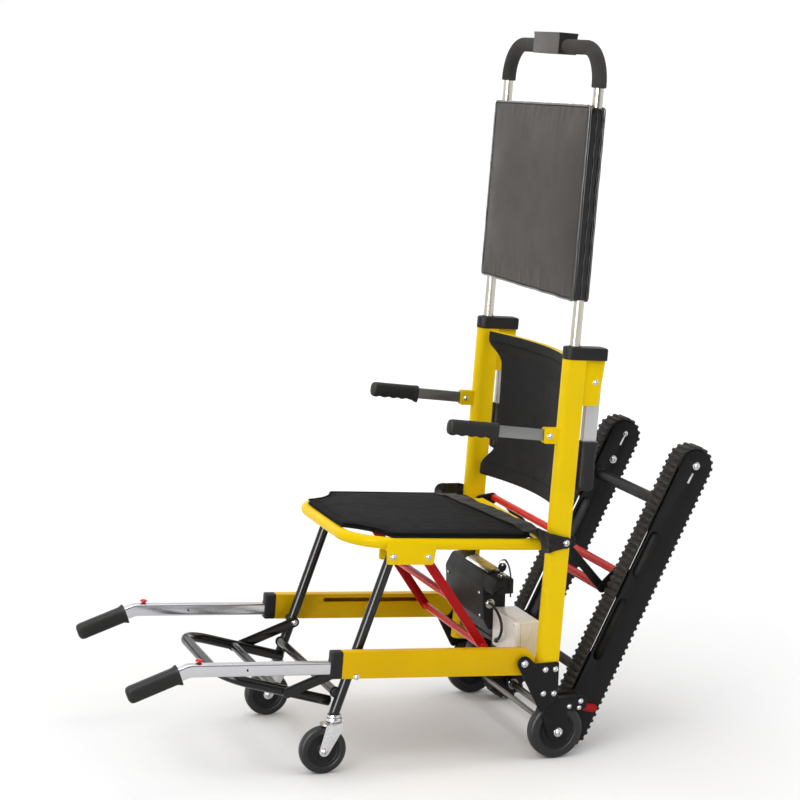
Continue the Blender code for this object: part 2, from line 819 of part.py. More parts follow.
# Arms and carry handles, about their own pivots
def make_grip(start, length, tall, wide, bar_tall, bar_wide, bar_end, lip):
    """A moulded grip pushed over a flat bar that runs towards -Y."""
    rings = []
    stations = ((0.0, lip), (0.05, lip), (0.12, 0.0), (0.30, -0.0022), (0.46, 0.0), (0.62, -0.0022), (0.78, 0.0),
                (0.94, -0.001), (1.0, -0.006))
    for share, grow in stations:
        y = -start - length * share
        outline = rounded(wide + 2 * min(grow, 0.002), tall + 2 * grow, wide * 0.32, 2)
        rings.append([(u, y, v) for u, v in outline])
    pocket = block((-bar_wide / 2 - GAP, bar_wide / 2 + GAP), (-bar_end - GAP, 0.0),
                   (-bar_tall / 2 - GAP, bar_tall / 2 + GAP), "pocket")
    return cut(skin(rings, "grip"), pocket)


def make_bar(length, tall, wide):
    """A flat bar from a round eye at its pivot, towards -Y."""
    outline = hull_outline([(0, 0, tall / 2), (-length + tall / 4, tall / 4, tall / 4),
                            (-length + tall / 4, -tall / 4, tall / 4)], 16)
    return plate(outline, -wide / 2, wide / 2, "bar")


# Seat
def make_seat_frame():
    side = SEAT_WIDTH / 2
    path = bend([
        (Vector((-side, 0, 0)), 0),
        (Vector((-side, -SEAT_DEPTH, 0)), SEAT_CORNER),
        (Vector((side, -SEAT_DEPTH, 0)), SEAT_CORNER),
        (Vector((side, 0, 0)), 0),
    ], 5)
    loop = rod(path, SEAT_TUBE, "seat", across=Vector((0, 0, 1)))
    hinge = cross_rod(POST_IN - 2 * GAP, 0, 0, SEAT_HINGE_BAR, "hinge")
    added = [hinge]

    def cheek(high):
        return hull_outline([
            (-LEG_REACH - BRACKET_END + 0.006, -BRACKET_LOW + 0.006, 0.006),
            (-BRACE_REACH + BRACKET_END - 0.006, -BRACKET_LOW + 0.006, 0.006),
            (-BRACE_REACH + BRACKET_END + 0.002, high, 0.002),
            (-LEG_REACH - BRACKET_END + 0.002, high, 0.002),
        ])

    front = -LEG_REACH - BRACKET_END + 0.001
    back = -BRACE_REACH + BRACKET_END + 0.001
    for hand in (1, -1):
        outer = sorted((hand * BRACKET_OUT, hand * (BRACKET_OUT - CHEEK)))
        inner = sorted((hand * BRACKET_IN, hand * (BRACKET_IN + CHEEK)))
        span = sorted((hand * (BRACKET_OUT - 0.0005), hand * (BRACKET_IN + 0.0005)))
        web = block(span, (front, back), (-BRACKET_HEAD + 0.0004, -BRACKET_HEAD + 0.004), "web")
        bracket = join(web, plate(cheek(BRACKET_RISE), outer[0], outer[1], "cheek"),
                       plate(cheek(-BRACKET_HEAD + 0.004), inner[0], inner[1], "cheek"))
        added.append(bracket)
    return join(loop, *added)


def make_panel():
    """A thin padded panel with its front corners cut back in a curve."""
    half = SEAT_WIDTH / 2 - PANEL_INSET
    front = -SEAT_DEPTH
    right = [(half - PANEL_REAR_CUT, -PANEL_REAR), (half, -PANEL_REAR - PANEL_REAR_CUT * 1.12),
             (half, -SEAT_DEPTH + PANEL_CURVE)]
    for k in range(1, 8):
        turn = math.pi / 2 * k / 8
        x = half - (half - PANEL_FRONT_HALF) * (1 - math.cos(turn))
        y = -SEAT_DEPTH + PANEL_CURVE * (1 - math.sin(turn))
        bite = PANEL_BITE * math.sin(2 * turn)
        right.append((x - bite, y + bite))
    right.append((PANEL_FRONT_HALF, front))
    outline = right + [(-x, y) for x, y in right[::-1]]
    middle = Vector((0, (front - PANEL_REAR) / 2))
    low = SEAT_TUBE / 2 + GAP
    rings = []
    for share, z in ((1.0, low), (1.0, low + PANEL_THICK * 0.7), (PANEL_SHOULDER, low + PANEL_THICK),
                     (PANEL_FLAT, low + PANEL_THICK + PANEL_CROWN)):
        rings.append([(middle.x + (x - middle.x) * share, middle.y + (y - middle.y) * share, z) for x, y in outline])
    return skin(rings, "panel")


def panel_rise(x, y):
    """How far the seat panel's crown stands over its edge at a place."""
    half = SEAT_WIDTH / 2 - PANEL_INSET
    middle = -(SEAT_DEPTH + PANEL_REAR) / 2
    share = max(abs(x) / half, abs(y - middle) / (SEAT_DEPTH + middle))
    slope = (PANEL_SHOULDER - share) / (PANEL_SHOULDER - PANEL_FLAT)
    return PANEL_CROWN * max(0.0, min(1.0, slope))


def make_belt():
    """A strap laid across the rear of the seat panel."""
    half = SEAT_WIDTH / 2 - PANEL_INSET
    low = SEAT_TUBE / 2 + PANEL_THICK + 2 * GAP
    rings = []
    steps = 10
    for k in range(steps + 1):
        x = -half + 2 * half * k / steps
        y = -BELT_PLACE + BELT_SWAY * x / half
        wave = 0.0006 * (1 - math.cos(4 * math.pi * k / steps))
        z = low + wave + max(panel_rise(x, y - BELT_WIDTH / 2), panel_rise(x, y + BELT_WIDTH / 2))
        rings.append([(x, y - BELT_WIDTH / 2, z), (x, y + BELT_WIDTH / 2, z),
                      (x, y + BELT_WIDTH / 2, z + BELT_THICK), (x, y - BELT_WIDTH / 2, z + BELT_THICK)])
    return skin(rings, "belt")


def make_brace():
    """Two flat bars with two cross rods; the lower rod rides in the rails' slots."""
    inner = BRACKET_IN + CHEEK + GAP
    outer = inner + BRACE_BAR_THICK
    outline = hull_outline([(0, 0, BRACE_BAR_WIDE / 2), (0, -BRACE_LENGTH, BRACE_BAR_WIDE / 2)])
    bars = [plate(outline, inner, outer, "bar"), plate(outline, -outer, -inner, "bar")]
    slider = cross_rod(RAIL_IN - 2 * GAP, 0, -BRACE_LENGTH, RAIL_SLOT_HEIGHT - 0.001, "slider")
    sleeve = cross_rod(outer + 0.004, 0, -BRACE_LENGTH, BRACE_ROD, "rod")
    rung = cross_rod(inner + BRACE_BAR_THICK / 2, 0, -BRACE_RUNG, BRACE_ROD, "rung")
    return join(slider, sleeve, rung, *bars)


# Rails and sliding tubes, about the rail pivot
def make_rail(side):
    tall = RAIL_HEIGHT / 2

    def outline(inset):
        radius = tall - inset
        points = []
        for k in range(9):
            turn = math.pi / 2 - math.pi * k / 8
            points.append((radius * math.cos(turn), radius * math.sin(turn)))
        return points + [(-RAIL_LENGTH, -radius), (-RAIL_LENGTH, radius)]

    outer = plate(outline(0), RAIL_IN, RAIL_OUT, "rail")
    hollow = [(-RAIL_LENGTH - 0.01, v) if u <= -RAIL_LENGTH else (u, v) for u, v in outline(RAIL_WALL)]
    bore = plate(hollow, RAIL_IN + RAIL_WALL, RAIL_OUT - RAIL_WALL, "bore")
    slot = hull_outline([(-RAIL_SLOT_START, RAIL_SLOT_RISE, RAIL_SLOT_HEIGHT / 2),
                         (-RAIL_SLOT_END, RAIL_SLOT_RISE, RAIL_SLOT_HEIGHT / 2)], 12)
    slot = plate(slot, RAIL_IN - 0.01, RAIL_IN + RAIL_WALL + 0.001, "slot")
    return mirrored(cut(outer, bore, slot), side)


def make_rail_cap(side):
    start = RAIL_LENGTH + GAP
    rings = []
    for inset, y in ((0.0, -start), (0.0, -start - RAIL_CAP_LENGTH + 0.003), (0.003, -start - RAIL_CAP_LENGTH)):
        outline = rounded(RAIL_WIDTH + 0.001 - 2 * inset, RAIL_HEIGHT + 0.0016 - 2 * inset, 0.005)
        rings.append([(HALF + u, y, v) for u, v in outline])
    path = [Vector((HALF, -start + 0.01, -SLIDE_DROP)), Vector((HALF, -start - RAIL_CAP_LENGTH - 0.01, -SLIDE_DROP))]
    bore = skin(rings_along(path, rounded(SLIDE_WIDE + 2 * SLIDE_GAP, SLIDE_TALL + 2 * SLIDE_GAP, 0.0055, 2),
                            Vector((1, 0, 0))), "bore")
    return mirrored(cut(skin(rings, "cap"), bore), side)


def slide_path():
    fall = SLIDE_END - SLIDE_BEND
    return bend([
        (Vector((0, -SLIDE_INNER, -SLIDE_DROP)), 0),
        (Vector((0, -SLIDE_BEND, -SLIDE_DROP)), 0.035),
        (Vector((0, -SLIDE_END, -SLIDE_DROP - fall * math.tan(SLIDE_BEND_ANGLE))), 0),
    ], 4)


def make_slide():
    tube = skin(rings_along(slide_path(), rounded(SLIDE_WIDE, SLIDE_TALL, 0.0055, 2), Vector((1, 0, 0))), "slide")
    top = -SLIDE_DROP + SLIDE_TALL / 2
    ends = [Vector((0, -BUTTON_PLACE, top - BUTTON_STEM - BUTTON_TRAVEL)), Vector((0, -BUTTON_PLACE, top + 0.01))]
    return cut(tube, rod(ends, bore_size(BUTTON_DIAMETER, GAP), "pocket"))


def make_button():
    """A mushroom knob, held clear of its tube by more than its travel."""
    top = -SLIDE_DROP + SLIDE_TALL / 2
    under = top + BUTTON_TRAVEL + BUTTON_LIFT
    high = under + BUTTON_CAP_TALL
    rings = []
    for z, radius in ((top - BUTTON_STEM, BUTTON_DIAMETER / 2), (under, BUTTON_DIAMETER / 2), (under, BUTTON_CAP / 2),
                      (high - 0.0016, BUTTON_CAP / 2), (high, BUTTON_CAP / 2 - 0.0026)):
        rings.append([(u, -BUTTON_PLACE + v, z) for u, v in circle(radius)])
    return skin(rings, "button")


# Legs, casters and footrest, about the leg pivot
def make_legs():
    side = LEG_SPACING / 2
    down = Vector((0, -LEG_TOP[0], -LEG_TOP[1])).normalized()
    top = Vector((0, LEG_TOP[0], LEG_TOP[1])) - down * LEG_HEAD
    knee = down * (LEG_STEM_DROP / -down.z)
    foot = Vector((0, knee.y, LEG_STEM_LOW - LEG_PIVOT[1]))
    path = bend([(top, 0), (knee, 0.020), (foot, 0)], 4)
    tubes = []
    for hand in (1, -1):
        here = [p + Vector((hand * side, 0, 0)) for p in path]
        tubes.append(rod(here, LEG_TUBE, "leg"))
    bar_y = down.y * LEG_BAR_DROP / -down.z - LEG_TUBE / 2
    bar = cross_rod(side, bar_y, -LEG_BAR_DROP, LEG_BAR, "bar")
    eyes = []
    for hand in (1, -1):
        span = sorted((hand * (side + LEG_TUBE / 2 - 0.003), hand * (RAIL_IN - GAP)))
        eyes.append(plate(circle(0.0085), span[0], span[1], "eye"))
        span = sorted((hand * (side - LEG_TUBE / 2 + 0.003), hand * (FOOT_HALF + FOOT_TUBE / 2 + FOOT_ARM_THICK + GAP)))
        eyes.append(plate(circle(0.0085), span[0], span[1], "eye"))
        span = sorted((hand * (side - LEG_TUBE / 2 + 0.003), hand * (BRACKET_OUT - CHEEK - GAP)))
        eye = moved(plate(circle(0.0065), span[0], span[1], "eye"), y=LEG_TOP[0], z=LEG_TOP[1])
        eyes.append(eye)
    return join(bar, *tubes, *eyes)


def leg_stem():
    """Where the caster's stem stands, from the leg pivot."""
    return -LEG_TOP[0] / LEG_TOP[1] * LEG_STEM_DROP


def make_caster_fork():
    """About the swivel axis, at floor height."""
    inner = CASTER_WIDTH / 2 + FORK_PLAY
    outer = inner + CASTER_CHEEK
    crown = CASTER_RADIUS * 2 + 0.003
    head = hull_outline([(0, 0, 0.017), (-CASTER_TRAIL * 0.5, 0, 0.014)])
    cheeks = []
    shape = hull_outline([(-CASTER_TRAIL, CASTER_RADIUS, 0.011), (-0.012, crown - 0.004, 0.009),
                          (0.008, crown - 0.004, 0.009)])
    for hand in (1, -1):
        span = sorted((hand * inner, hand * outer))
        cheeks.append(plate(shape, span[0], span[1], "cheek"))
    low = crown
    top = LEG_STEM_LOW - GAP
    rings = [[(v * 1.08, u, z) for u, v in head] for z in (low, top - 0.002)]
    crown_plate = skin(rings, "crown")
    neck = rod([Vector((0, 0, top - 0.004)), Vector((0, 0, top))], CASTER_NECK, "neck")
    axle = cross_rod(outer - 0.0005, -CASTER_TRAIL, CASTER_RADIUS, CASTER_AXLE, "axle")
    return join(crown_plate, *cheeks, neck, axle)


def make_caster_wheel():
    bore = CASTER_AXLE / 2 + GAP
    half = CASTER_WIDTH / 2
    dish = half - 0.004
    profile = [(bore, -half), (CASTER_HUB, -half), (CASTER_HUB + 0.002, -dish), (CASTER_RIM, -dish),
               (CASTER_RIM + 0.003, -half), (CASTER_RADIUS - 0.004, -half), (CASTER_RADIUS, -half + 0.006),
               (CASTER_RADIUS, half - 0.006), (CASTER_RADIUS - 0.004, half), (CASTER_RIM + 0.003, half),
               (CASTER_RIM, dish), (CASTER_HUB + 0.002, dish), (CASTER_HUB, half), (bore, half)]
    return turn_x(profile, "caster", 16)


def make_footrest():
    """A tube loop on two flat arms, about the leg pivot."""
    back = turned(-FOOT_SLOPE, -FOOT_REAR, 0)

    def spot(reach):
        step = turned(-FOOT_SLOPE, -reach, 0)
        return Vector((0, step[0] - back[0] - FOOT_REAR, step[1] - back[1] - FOOT_DROP))

    rear = spot(FOOT_REAR)
    front = spot(FOOT_FRONT)
    side = Vector((FOOT_HALF, 0, 0))
    path = bend([(rear - side, 0), (front - side, FOOT_CORNER), (front + side, FOOT_CORNER), (rear + side, 0)], 5)
    loop = rod(path, FOOT_TUBE, "loop", across=Vector((0, -math.sin(FOOT_SLOPE), math.cos(FOOT_SLOPE))), count=12)
    rung = spot(FOOT_RUNG)
    parts = [cross_rod(FOOT_HALF, rung.y, rung.z, FOOT_TUBE * 0.86, "rung")]
    low = spot(FOOT_ARM_PLACE)
    outline = hull_outline([(0, 0, FOOT_ARM_WIDE / 2), (low.y, low.z, FOOT_ARM_WIDE / 2)])
    for hand in (1, -1):
        span = sorted((hand * (FOOT_HALF + FOOT_TUBE / 2 - 0.001),
                       hand * (FOOT_HALF + FOOT_TUBE / 2 + FOOT_ARM_THICK)))
        parts.append(plate(outline, span[0], span[1], "arm"))
    return join(loop, *parts)


# Wheels and forks at the back
def make_wheel():
    bore = WHEEL_AXLE / 2 + GAP
    half = WHEEL_WIDTH / 2
    dish = half - 0.005
    profile = [(bore, -half), (WHEEL_HUB, -half), (WHEEL_HUB + 0.003, -dish), (WHEEL_RIM, -dish),
               (WHEEL_RIM + 0.003, -half), (WHEEL_RADIUS - 0.005, -half), (WHEEL_RADIUS, -half + 0.007),
               (WHEEL_RADIUS, half - 0.007), (WHEEL_RADIUS - 0.005, half), (WHEEL_RIM + 0.003, half),
               (WHEEL_RIM, dish), (WHEEL_HUB + 0.003, dish), (WHEEL_HUB, half), (bore, half)]
    return turn_x(profile, "wheel", 18)


BASE_ROUNDS = ((RAIL_PIVOT_Y, RAIL_PIVOT_Z, 0.018), (-0.012, 0.2035, 0.009), (-0.0125, 0.1385, 0.0095),
               (-0.038, 0.117, 0.0095))
PLATE_IN = POST_OUT + GAP


def make_base_plate(side):
    shell = plate(hull_outline(BASE_ROUNDS), PLATE_IN, PLATE_IN + PLATE, "base")
    boss = moved(plate(circle(0.012, 14), RAIL_OUT + GAP, PLATE_IN + 0.001, "boss"), y=RAIL_PIVOT_Y, z=RAIL_PIVOT_Z)
    return mirrored(join(shell, boss), side)


def make_fork(side):
    """A rear wheel fork under the base plate, with the arm that carries the track."""
    low = BASE_ROUNDS[3]
    high = BASE_ROUNDS[2]
    seam = Vector((high[0] - low[0], high[1] - low[1])).normalized()
    square = Vector((seam.y, -seam.x))
    ends = []
    for spot in (low, high):
        radius = 0.0143
        centre = Vector(spot[:2]) + square * (spot[2] + GAP + radius)
        ends.append((centre.x, centre.y, radius))
    body = hull_outline([(0, WHEEL_RADIUS, FORK_HUB_RADIUS), *ends])
    arm = hull_outline([ends[1], (TRACK_PIVOT_Y, TRACK_PIVOT_Z, 0.017)])
    inner_out = POST_IN + FORK_INNER_PLATE
    parts = [
        plate(arm, PLATE_IN + 0.0002, PLATE_IN + PLATE - 0.0002, "arm"),
        plate(body, POST_IN, inner_out, "inner"),
        plate(arm, POST_IN + 0.0002, inner_out - 0.0002, "inner_arm"),
        block((inner_out - 0.001, PLATE_IN + 0.001), (0.006, TRACK_PIVOT_Y + 0.008),
              (2 * WHEEL_RADIUS + 0.0015, 2 * WHEEL_RADIUS + 0.0115), "bridge", 0.002),
        moved(cross_rod((PLATE_IN - inner_out) / 2 + 0.001, 0, 0, WHEEL_AXLE, "pin"),
              x=(PLATE_IN + inner_out) / 2, z=WHEEL_RADIUS),
        moved(plate(circle(0.010), TRACK_OUT + GAP, POST_IN + 0.001, "trunnion"), y=TRACK_PIVOT_Y,
              z=TRACK_PIVOT_Z),
    ]
    if side > 0:
        parts.append(moved(plate(circle(0.0065), lever_outer() + GAP, POST_IN + 0.001, "lever_boss"),
                           y=LEVER_PIVOT_Y, z=LEVER_PIVOT_Z))
        foot = hull_outline([(TRACK_PIVOT_Y, TRACK_PIVOT_Z, 0.012), (LEVER_PIVOT_Y, LEVER_PIVOT_Z, 0.010)])
        parts.append(plate(foot, POST_IN + 0.0004, inner_out - 0.0004, "lever_foot"))
    return mirrored(join(plate(body, PLATE_IN, PLATE_IN + PLATE, "fork"), *parts), side)


def lever_outer():
    return TRACK_OUT + 0.0012 + LEVER_THICK


def make_lever():
    tip = turned(-LEVER_DROP, LEVER_LENGTH, 0)
    outline = hull_outline([(0, 0, 0.008), (tip[0], tip[1], 0.006)])
    pedal = hull_outline([(tip[0] * 0.62, tip[1] * 0.62, 0.0085), (tip[0], tip[1], 0.0085)])
    inner = lever_outer() - LEVER_THICK
    return join(plate(outline, inner, lever_outer(), "lever"),
                plate(pedal, inner + 0.0002, lever_outer() + 0.004, "pedal"))


# Drive unit
def cross_place():
    """The middle of the lower crossbar, on the post's own line."""
    height = (CROSS_Z - POST_FOOT_Z) / math.cos(POST_LEAN)
    return on_post(0, height)


def make_drive_frame():
    y, z = cross_place()
    half = CROSS_SIZE / 2
    reach = POST_IN - GAP
    bar = block((-reach, reach), (y - half, y + half), (z - half, z + half), "crossbar", CROSS_EDGE)
    back = -HOUSING_FRONT + HOUSING_DEEP + GAP
    tray_top = BATTERY_LOW - GAP
    tray_x = (BATTERY_LEFT - BATTERY_LENGTH - 0.002, BATTERY_LEFT + 0.004)
    tray = block(tray_x, (-BATTERY_FRONT - 0.002, -BATTERY_FRONT + BATTERY_DEEP + 0.003),
                 (tray_top - TRAY, tray_top), "tray")
    low = MOTOR_Z + MOTOR_RADIUS + 0.001
    upright = block((-HOUSING_RIGHT + 0.008, HOUSING_STEP - 0.006), (back, back + TRAY), (low, UPRIGHT_HIGH),
                    "upright")
    webs = []
    for x in (tray_x[0] + 0.02, tray_x[1] - 0.02):
        webs.append(block((x - 0.004, x + 0.004), (y - half + 0.002, y + half - 0.002),
                          (z + half - 0.002, tray_top - 0.001), "web"))
    for x in (-HOUSING_RIGHT + 0.03, HOUSING_STEP - 0.03):
        webs.append(block((x - 0.010, x + 0.010), (back + 0.0005, y), (z + half - 0.002, low + 0.008), "web"))
    hanger = block((-HOUSING_RIGHT + 0.012, -HOUSING_RIGHT + 0.042), (back + 0.0002, back + TRAY - 0.0002),
                   (UPRIGHT_HIGH - HANGER_LAP, HANGER_HIGH), "hanger")
    return join(bar, tray, upright, hanger, *webs)


def make_housing():
    """A moulded cover with a sloped, rounded brow and a step over the battery."""
    front = -HOUSING_FRONT
    back = front + HOUSING_DEEP
    side = round_corners([
        (back, HOUSING_LOW, 0.002), (back, HOUSING_HIGH, 0.004), (front + 0.016, HOUSING_HIGH, 0.012),
        (front, HOUSING_HIGH - 0.030, 0.020), (front + 0.004, HOUSING_LOW + 0.022, 0.008),
        (front + 0.016, HOUSING_LOW, 0.006),
    ], 4)
    rings = []
    middle = Vector(((front + back) / 2, (HOUSING_LOW + HOUSING_HIGH) / 2))
    for share, x in ((0.93, -HOUSING_RIGHT), (1.0, -HOUSING_RIGHT + 0.006), (1.0, HOUSING_LEFT - 0.006),
                     (0.93, HOUSING_LEFT)):
        ring = []
        for u, v in side:
            ring.append((x, middle.x + (u - middle.x) * share, middle.y + (v - middle.y) * share))
        rings.append(ring)
    shell = skin(rings, "housing")
    notch = block((HOUSING_STEP, HOUSING_LEFT + 0.02), (front - 0.02, back + 0.02), (HOUSING_LOW - 0.02,
                                                                                    HOUSING_OVERHANG), "notch")
    window = skin([[(x, u, v) for u, v in (
        (front + 0.014, HOUSING_HIGH - 0.004), (back - 0.006, HOUSING_HIGH - 0.004),
        (back - 0.008, HOUSING_HIGH + 0.010), (front + 0.018, HOUSING_HIGH + 0.0045))] for x in (-0.085, 0.050)],
        "window")
    socket = moved(plate(circle(0.008), HOUSING_STEP - 0.002, HOUSING_STEP + 0.004, "socket"), y=lead_y(),
                   z=lead_z())
    return join(cut(shell, notch), window, socket)


def lead_y():
    return -HOUSING_FRONT + 0.017


def lead_z():
    return 0.296


def make_motor():
    """A finned gear motor, turned about an axis across the chair."""
    profile = [(0.0, 0.0), (0.022, 0.0), (0.022, 0.010), (MOTOR_RADIUS, 0.012)]
    fins = 4
    start = 0.022
    pitch = (MOTOR_LENGTH - start - 0.040) / fins
    for k in range(fins):
        x = start + k * pitch
        profile.append((MOTOR_RADIUS, x))
        profile.append((MOTOR_RADIUS - 0.004, x + pitch * 0.2))
        profile.append((MOTOR_RADIUS - 0.004, x + pitch * 0.6))
        profile.append((MOTOR_RADIUS, x + pitch * 0.8))
    profile += [(MOTOR_RADIUS, MOTOR_LENGTH - 0.006), (MOTOR_RADIUS - 0.006, MOTOR_LENGTH)]
    rings = []
    for radius, x in profile[1:]:
        rings.append([(MOTOR_LEFT - x, u, v) for u, v in circle(radius, 12)])
    return skin(rings, "motor")


def make_battery():
    """A box with a groove round it where its front cover closes."""
    x0 = BATTERY_LEFT - BATTERY_LENGTH
    y0 = -BATTERY_FRONT
    rings = []
    for inset, y in ((0.002, BATTERY_DEEP), (0.0, BATTERY_DEEP - 0.003), (0.0, BATTERY_LID + 0.0015),
                     (0.0015, BATTERY_LID + 0.001), (0.0015, BATTERY_LID), (0.0, BATTERY_LID - 0.0005), (0.0, 0.0025),
                     (0.002, 0.0)):
        outline = rounded(BATTERY_LENGTH - 2 * inset, BATTERY_TALL - 2 * inset, 0.005)
        rings.append([(x0 + BATTERY_LENGTH / 2 + u, y0 + y, BATTERY_LOW + BATTERY_TALL / 2 + v) for u, v in outline])
    gland = moved(rod([Vector((0, 0, 0)), Vector((0, -0.007, 0))], 0.011, "gland", count=12), x=x0 + 0.028,
                  y=y0 + 0.003, z=BATTERY_LOW + 0.016)
    return join(skin(rings, "battery"), gland)


def brace_rod_back():
    """The rear side of the brace's lower rod, at rest."""
    return BRACE_PIVOT[0] + BRACE_LENGTH * math.sin(BRACE_ANGLE) + BRACE_ROD / 2


def make_lead():
    """A short lead from the housing's socket to the gland on the battery."""
    start = Vector((HOUSING_STEP + 0.004 + GAP, lead_y(), lead_z()))
    stop = Vector((BATTERY_LEFT - BATTERY_LENGTH + 0.028, -BATTERY_FRONT - 0.004 - GAP, BATTERY_LOW + 0.016))
    first = start + Vector((0.040, -0.006, 0.004))
    room = stop.y - brace_rod_back()
    second = stop + Vector((0.006, -room * LEAD_SWING, LEAD_RISE))
    path = []
    steps = 12
    for k in range(steps + 1):
        t = k / steps
        a = (1 - t) ** 3
        b = 3 * t * (1 - t) ** 2
        c = 3 * t * t * (1 - t)
        path.append(start * a + first * b + second * c + stop * t ** 3)
    rings = []
    across = Vector((0, 0, 1))
    for i, here in enumerate(path):
        tangent = (path[min(i + 1, steps)] - path[max(i - 1, 0)]).normalized()
        if i == 0:
            tangent = Vector((1, 0, 0))
        if i == steps:
            tangent = Vector((0, 1, 0))
        across = (across - tangent * across.dot(tangent)).normalized()
        other = tangent.cross(across)
        rings.append([here + across * p + other * q for p, q in circle(LEAD / 2, 6)])
    return skin(rings, "lead")


def make_key():
    """A turning lock core with its key, about its own upright axis."""
    core = rod([Vector((0, 0, GAP)), Vector((0, 0, 0.003))], 0.014, "core")
    blade = block((-0.0012, 0.0012), (-0.0035, 0.0035), (0.0025, 0.012), "blade")
    head = moved(plate(circle(0.0095), -0.0016, 0.0016, "head"), z=0.0195)
    eye = moved(plate(circle(0.0028, 8), -0.01, 0.01, "eye"), z=0.0245)
    return join(core, blade, cut(head, eye))


# Tracks, about the drive shaft, with Z along the track
def belt_length(radius):
    return 2 * TRACK_CENTRES + 2 * math.pi * radius


def belt_point(radius, distance):
    """A point round the belt, at a distance along its inner face."""
    inner = BELT_RADIUS
    half_turn = math.pi * inner
    run = distance % belt_length(inner)
    if run < TRACK_CENTRES:
        return (radius, run)
    run -= TRACK_CENTRES
    if run < half_turn:
        turn = run / inner
        return (radius * math.cos(turn), TRACK_CENTRES + radius * math.sin(turn))
    run -= half_turn
    if run < TRACK_CENTRES:
        return (-radius, TRACK_CENTRES - run)
    run -= TRACK_CENTRES
    turn = run / inner
    return (-radius * math.cos(turn), -radius * math.sin(turn))


def make_track_belt(side):
    """A belt with a rib across it at every pitch, closed round both pulleys."""
    length = belt_length(BELT_RADIUS)
    count = round(length / RIB_PITCH)
    pitch = length / count
    outer = BELT_RADIUS + BELT_BODY
    over = []
    for k in range(count):
        for share, rise in ((0.24, RIB_HEIGHT), (0.74, 0.0)):
            run = (k + share) * pitch
            over.append((run, belt_point(outer + rise, run)))
    under = []
    turn = math.pi * BELT_RADIUS
    bends = BELT_BENDS
    for start in (0.0, TRACK_CENTRES + turn):
        for k in range(BELT_RUNS):
            run = start + TRACK_CENTRES * k / BELT_RUNS
            under.append((run, belt_point(BELT_RADIUS, run)))
        for k in range(bends):
            run = start + TRACK_CENTRES + turn * k / bends
            under.append((run, belt_point(BELT_RADIUS, run)))
    shape = bmesh.new()
    sheets = []
    for x in (BELT_IN, BELT_OUT):
        sheets.append(([shape.verts.new((x, *p)) for run, p in over], [shape.verts.new((x, *p)) for run, p in under]))
    for row in (0, 1):
        low = sheets[0][row]
        high = sheets[1][row]
        for i in range(len(low)):
            k = (i + 1) % len(low)
            shape.faces.new((low[i], low[k], high[k], high[i]))
    for ribs, inner in sheets:
        i = 0
        k = 0
        while i < len(over) or k < len(under):
            next_rib = over[i + 1][0] if i + 1 < len(over) else length
            next_bend = under[k + 1][0] if k + 1 < len(under) else length
            if k == len(under) or (i < len(over) and next_rib <= next_bend):
                shape.faces.new((ribs[i], ribs[(i + 1) % len(over)], inner[k % len(under)]))
                i += 1
            else:
                shape.faces.new((ribs[i % len(over)], inner[(k + 1) % len(under)], inner[k]))
                k += 1
    return mirrored(finish(shape, "belt"), side)


def pulley_profile():
    """A flanged pulley on the X axis, between the side plates."""
    half = TRACK_BELT_WIDTH / 2 - 0.001
    rim = BELT_RADIUS * math.cos(math.pi / (2 * BELT_BENDS)) - PULLEY_GAP
    return [(rim, -half), (rim, -half + 0.012), (rim - 0.004, -half + 0.015), (rim - 0.004, half - 0.015),
            (rim, half - 0.012), (rim, half)]


def make_drive_shaft():
    """Both drive pulleys on one shaft."""
    reach = TRACK_OUT - 0.0005
    profile = [(SHAFT / 2, -reach)]
    for centre in (-TRACK_HALF, TRACK_HALF):
        wheel = [(r, centre + x) for r, x in pulley_profile()]
        profile.append((SHAFT / 2, wheel[0][1]))
        profile += wheel
        profile.append((SHAFT / 2, wheel[-1][1]))
    profile.append((SHAFT / 2, reach))
    rings = [[(x, u, v) for u, v in circle(r, 12)] for r, x in profile]
    return skin(rings, "shaft")


def make_idler():
    profile = [(SHAFT / 2, -TRACK_BELT_WIDTH / 2 - SIDE_PLATE_GAP - SIDE_PLATE + 0.0005)]
    wheel = pulley_profile()
    profile.append((SHAFT / 2, wheel[0][1]))
    profile += wheel
    profile.append((SHAFT / 2, wheel[-1][1]))
    profile.append((SHAFT / 2, -profile[0][1]))
    rings = [[(x, u, v) for u, v in circle(r, 12)] for r, x in profile]
    return skin(rings, "idler")


def make_beam(hand):
    """A rectangular tube between the side plates of one track."""
    wide = TRACK_BELT_WIDTH + 2 * SIDE_PLATE_GAP + 0.002
    stack = []
    for inset in (0.0, BEAM_WALL):
        outline = rounded_flat(wide - 2 * inset, BEAM_WIDTH - 2 * inset)
        ends = (BEAM_START, TRACK_CENTRES - BEAM_STOP)
        stack.append([[(hand * TRACK_HALF + u, BEAM_OFFSET + v, z) for u, v in outline] for z in ends])
    return skin(stack[0], "beam", hollow=stack[1])


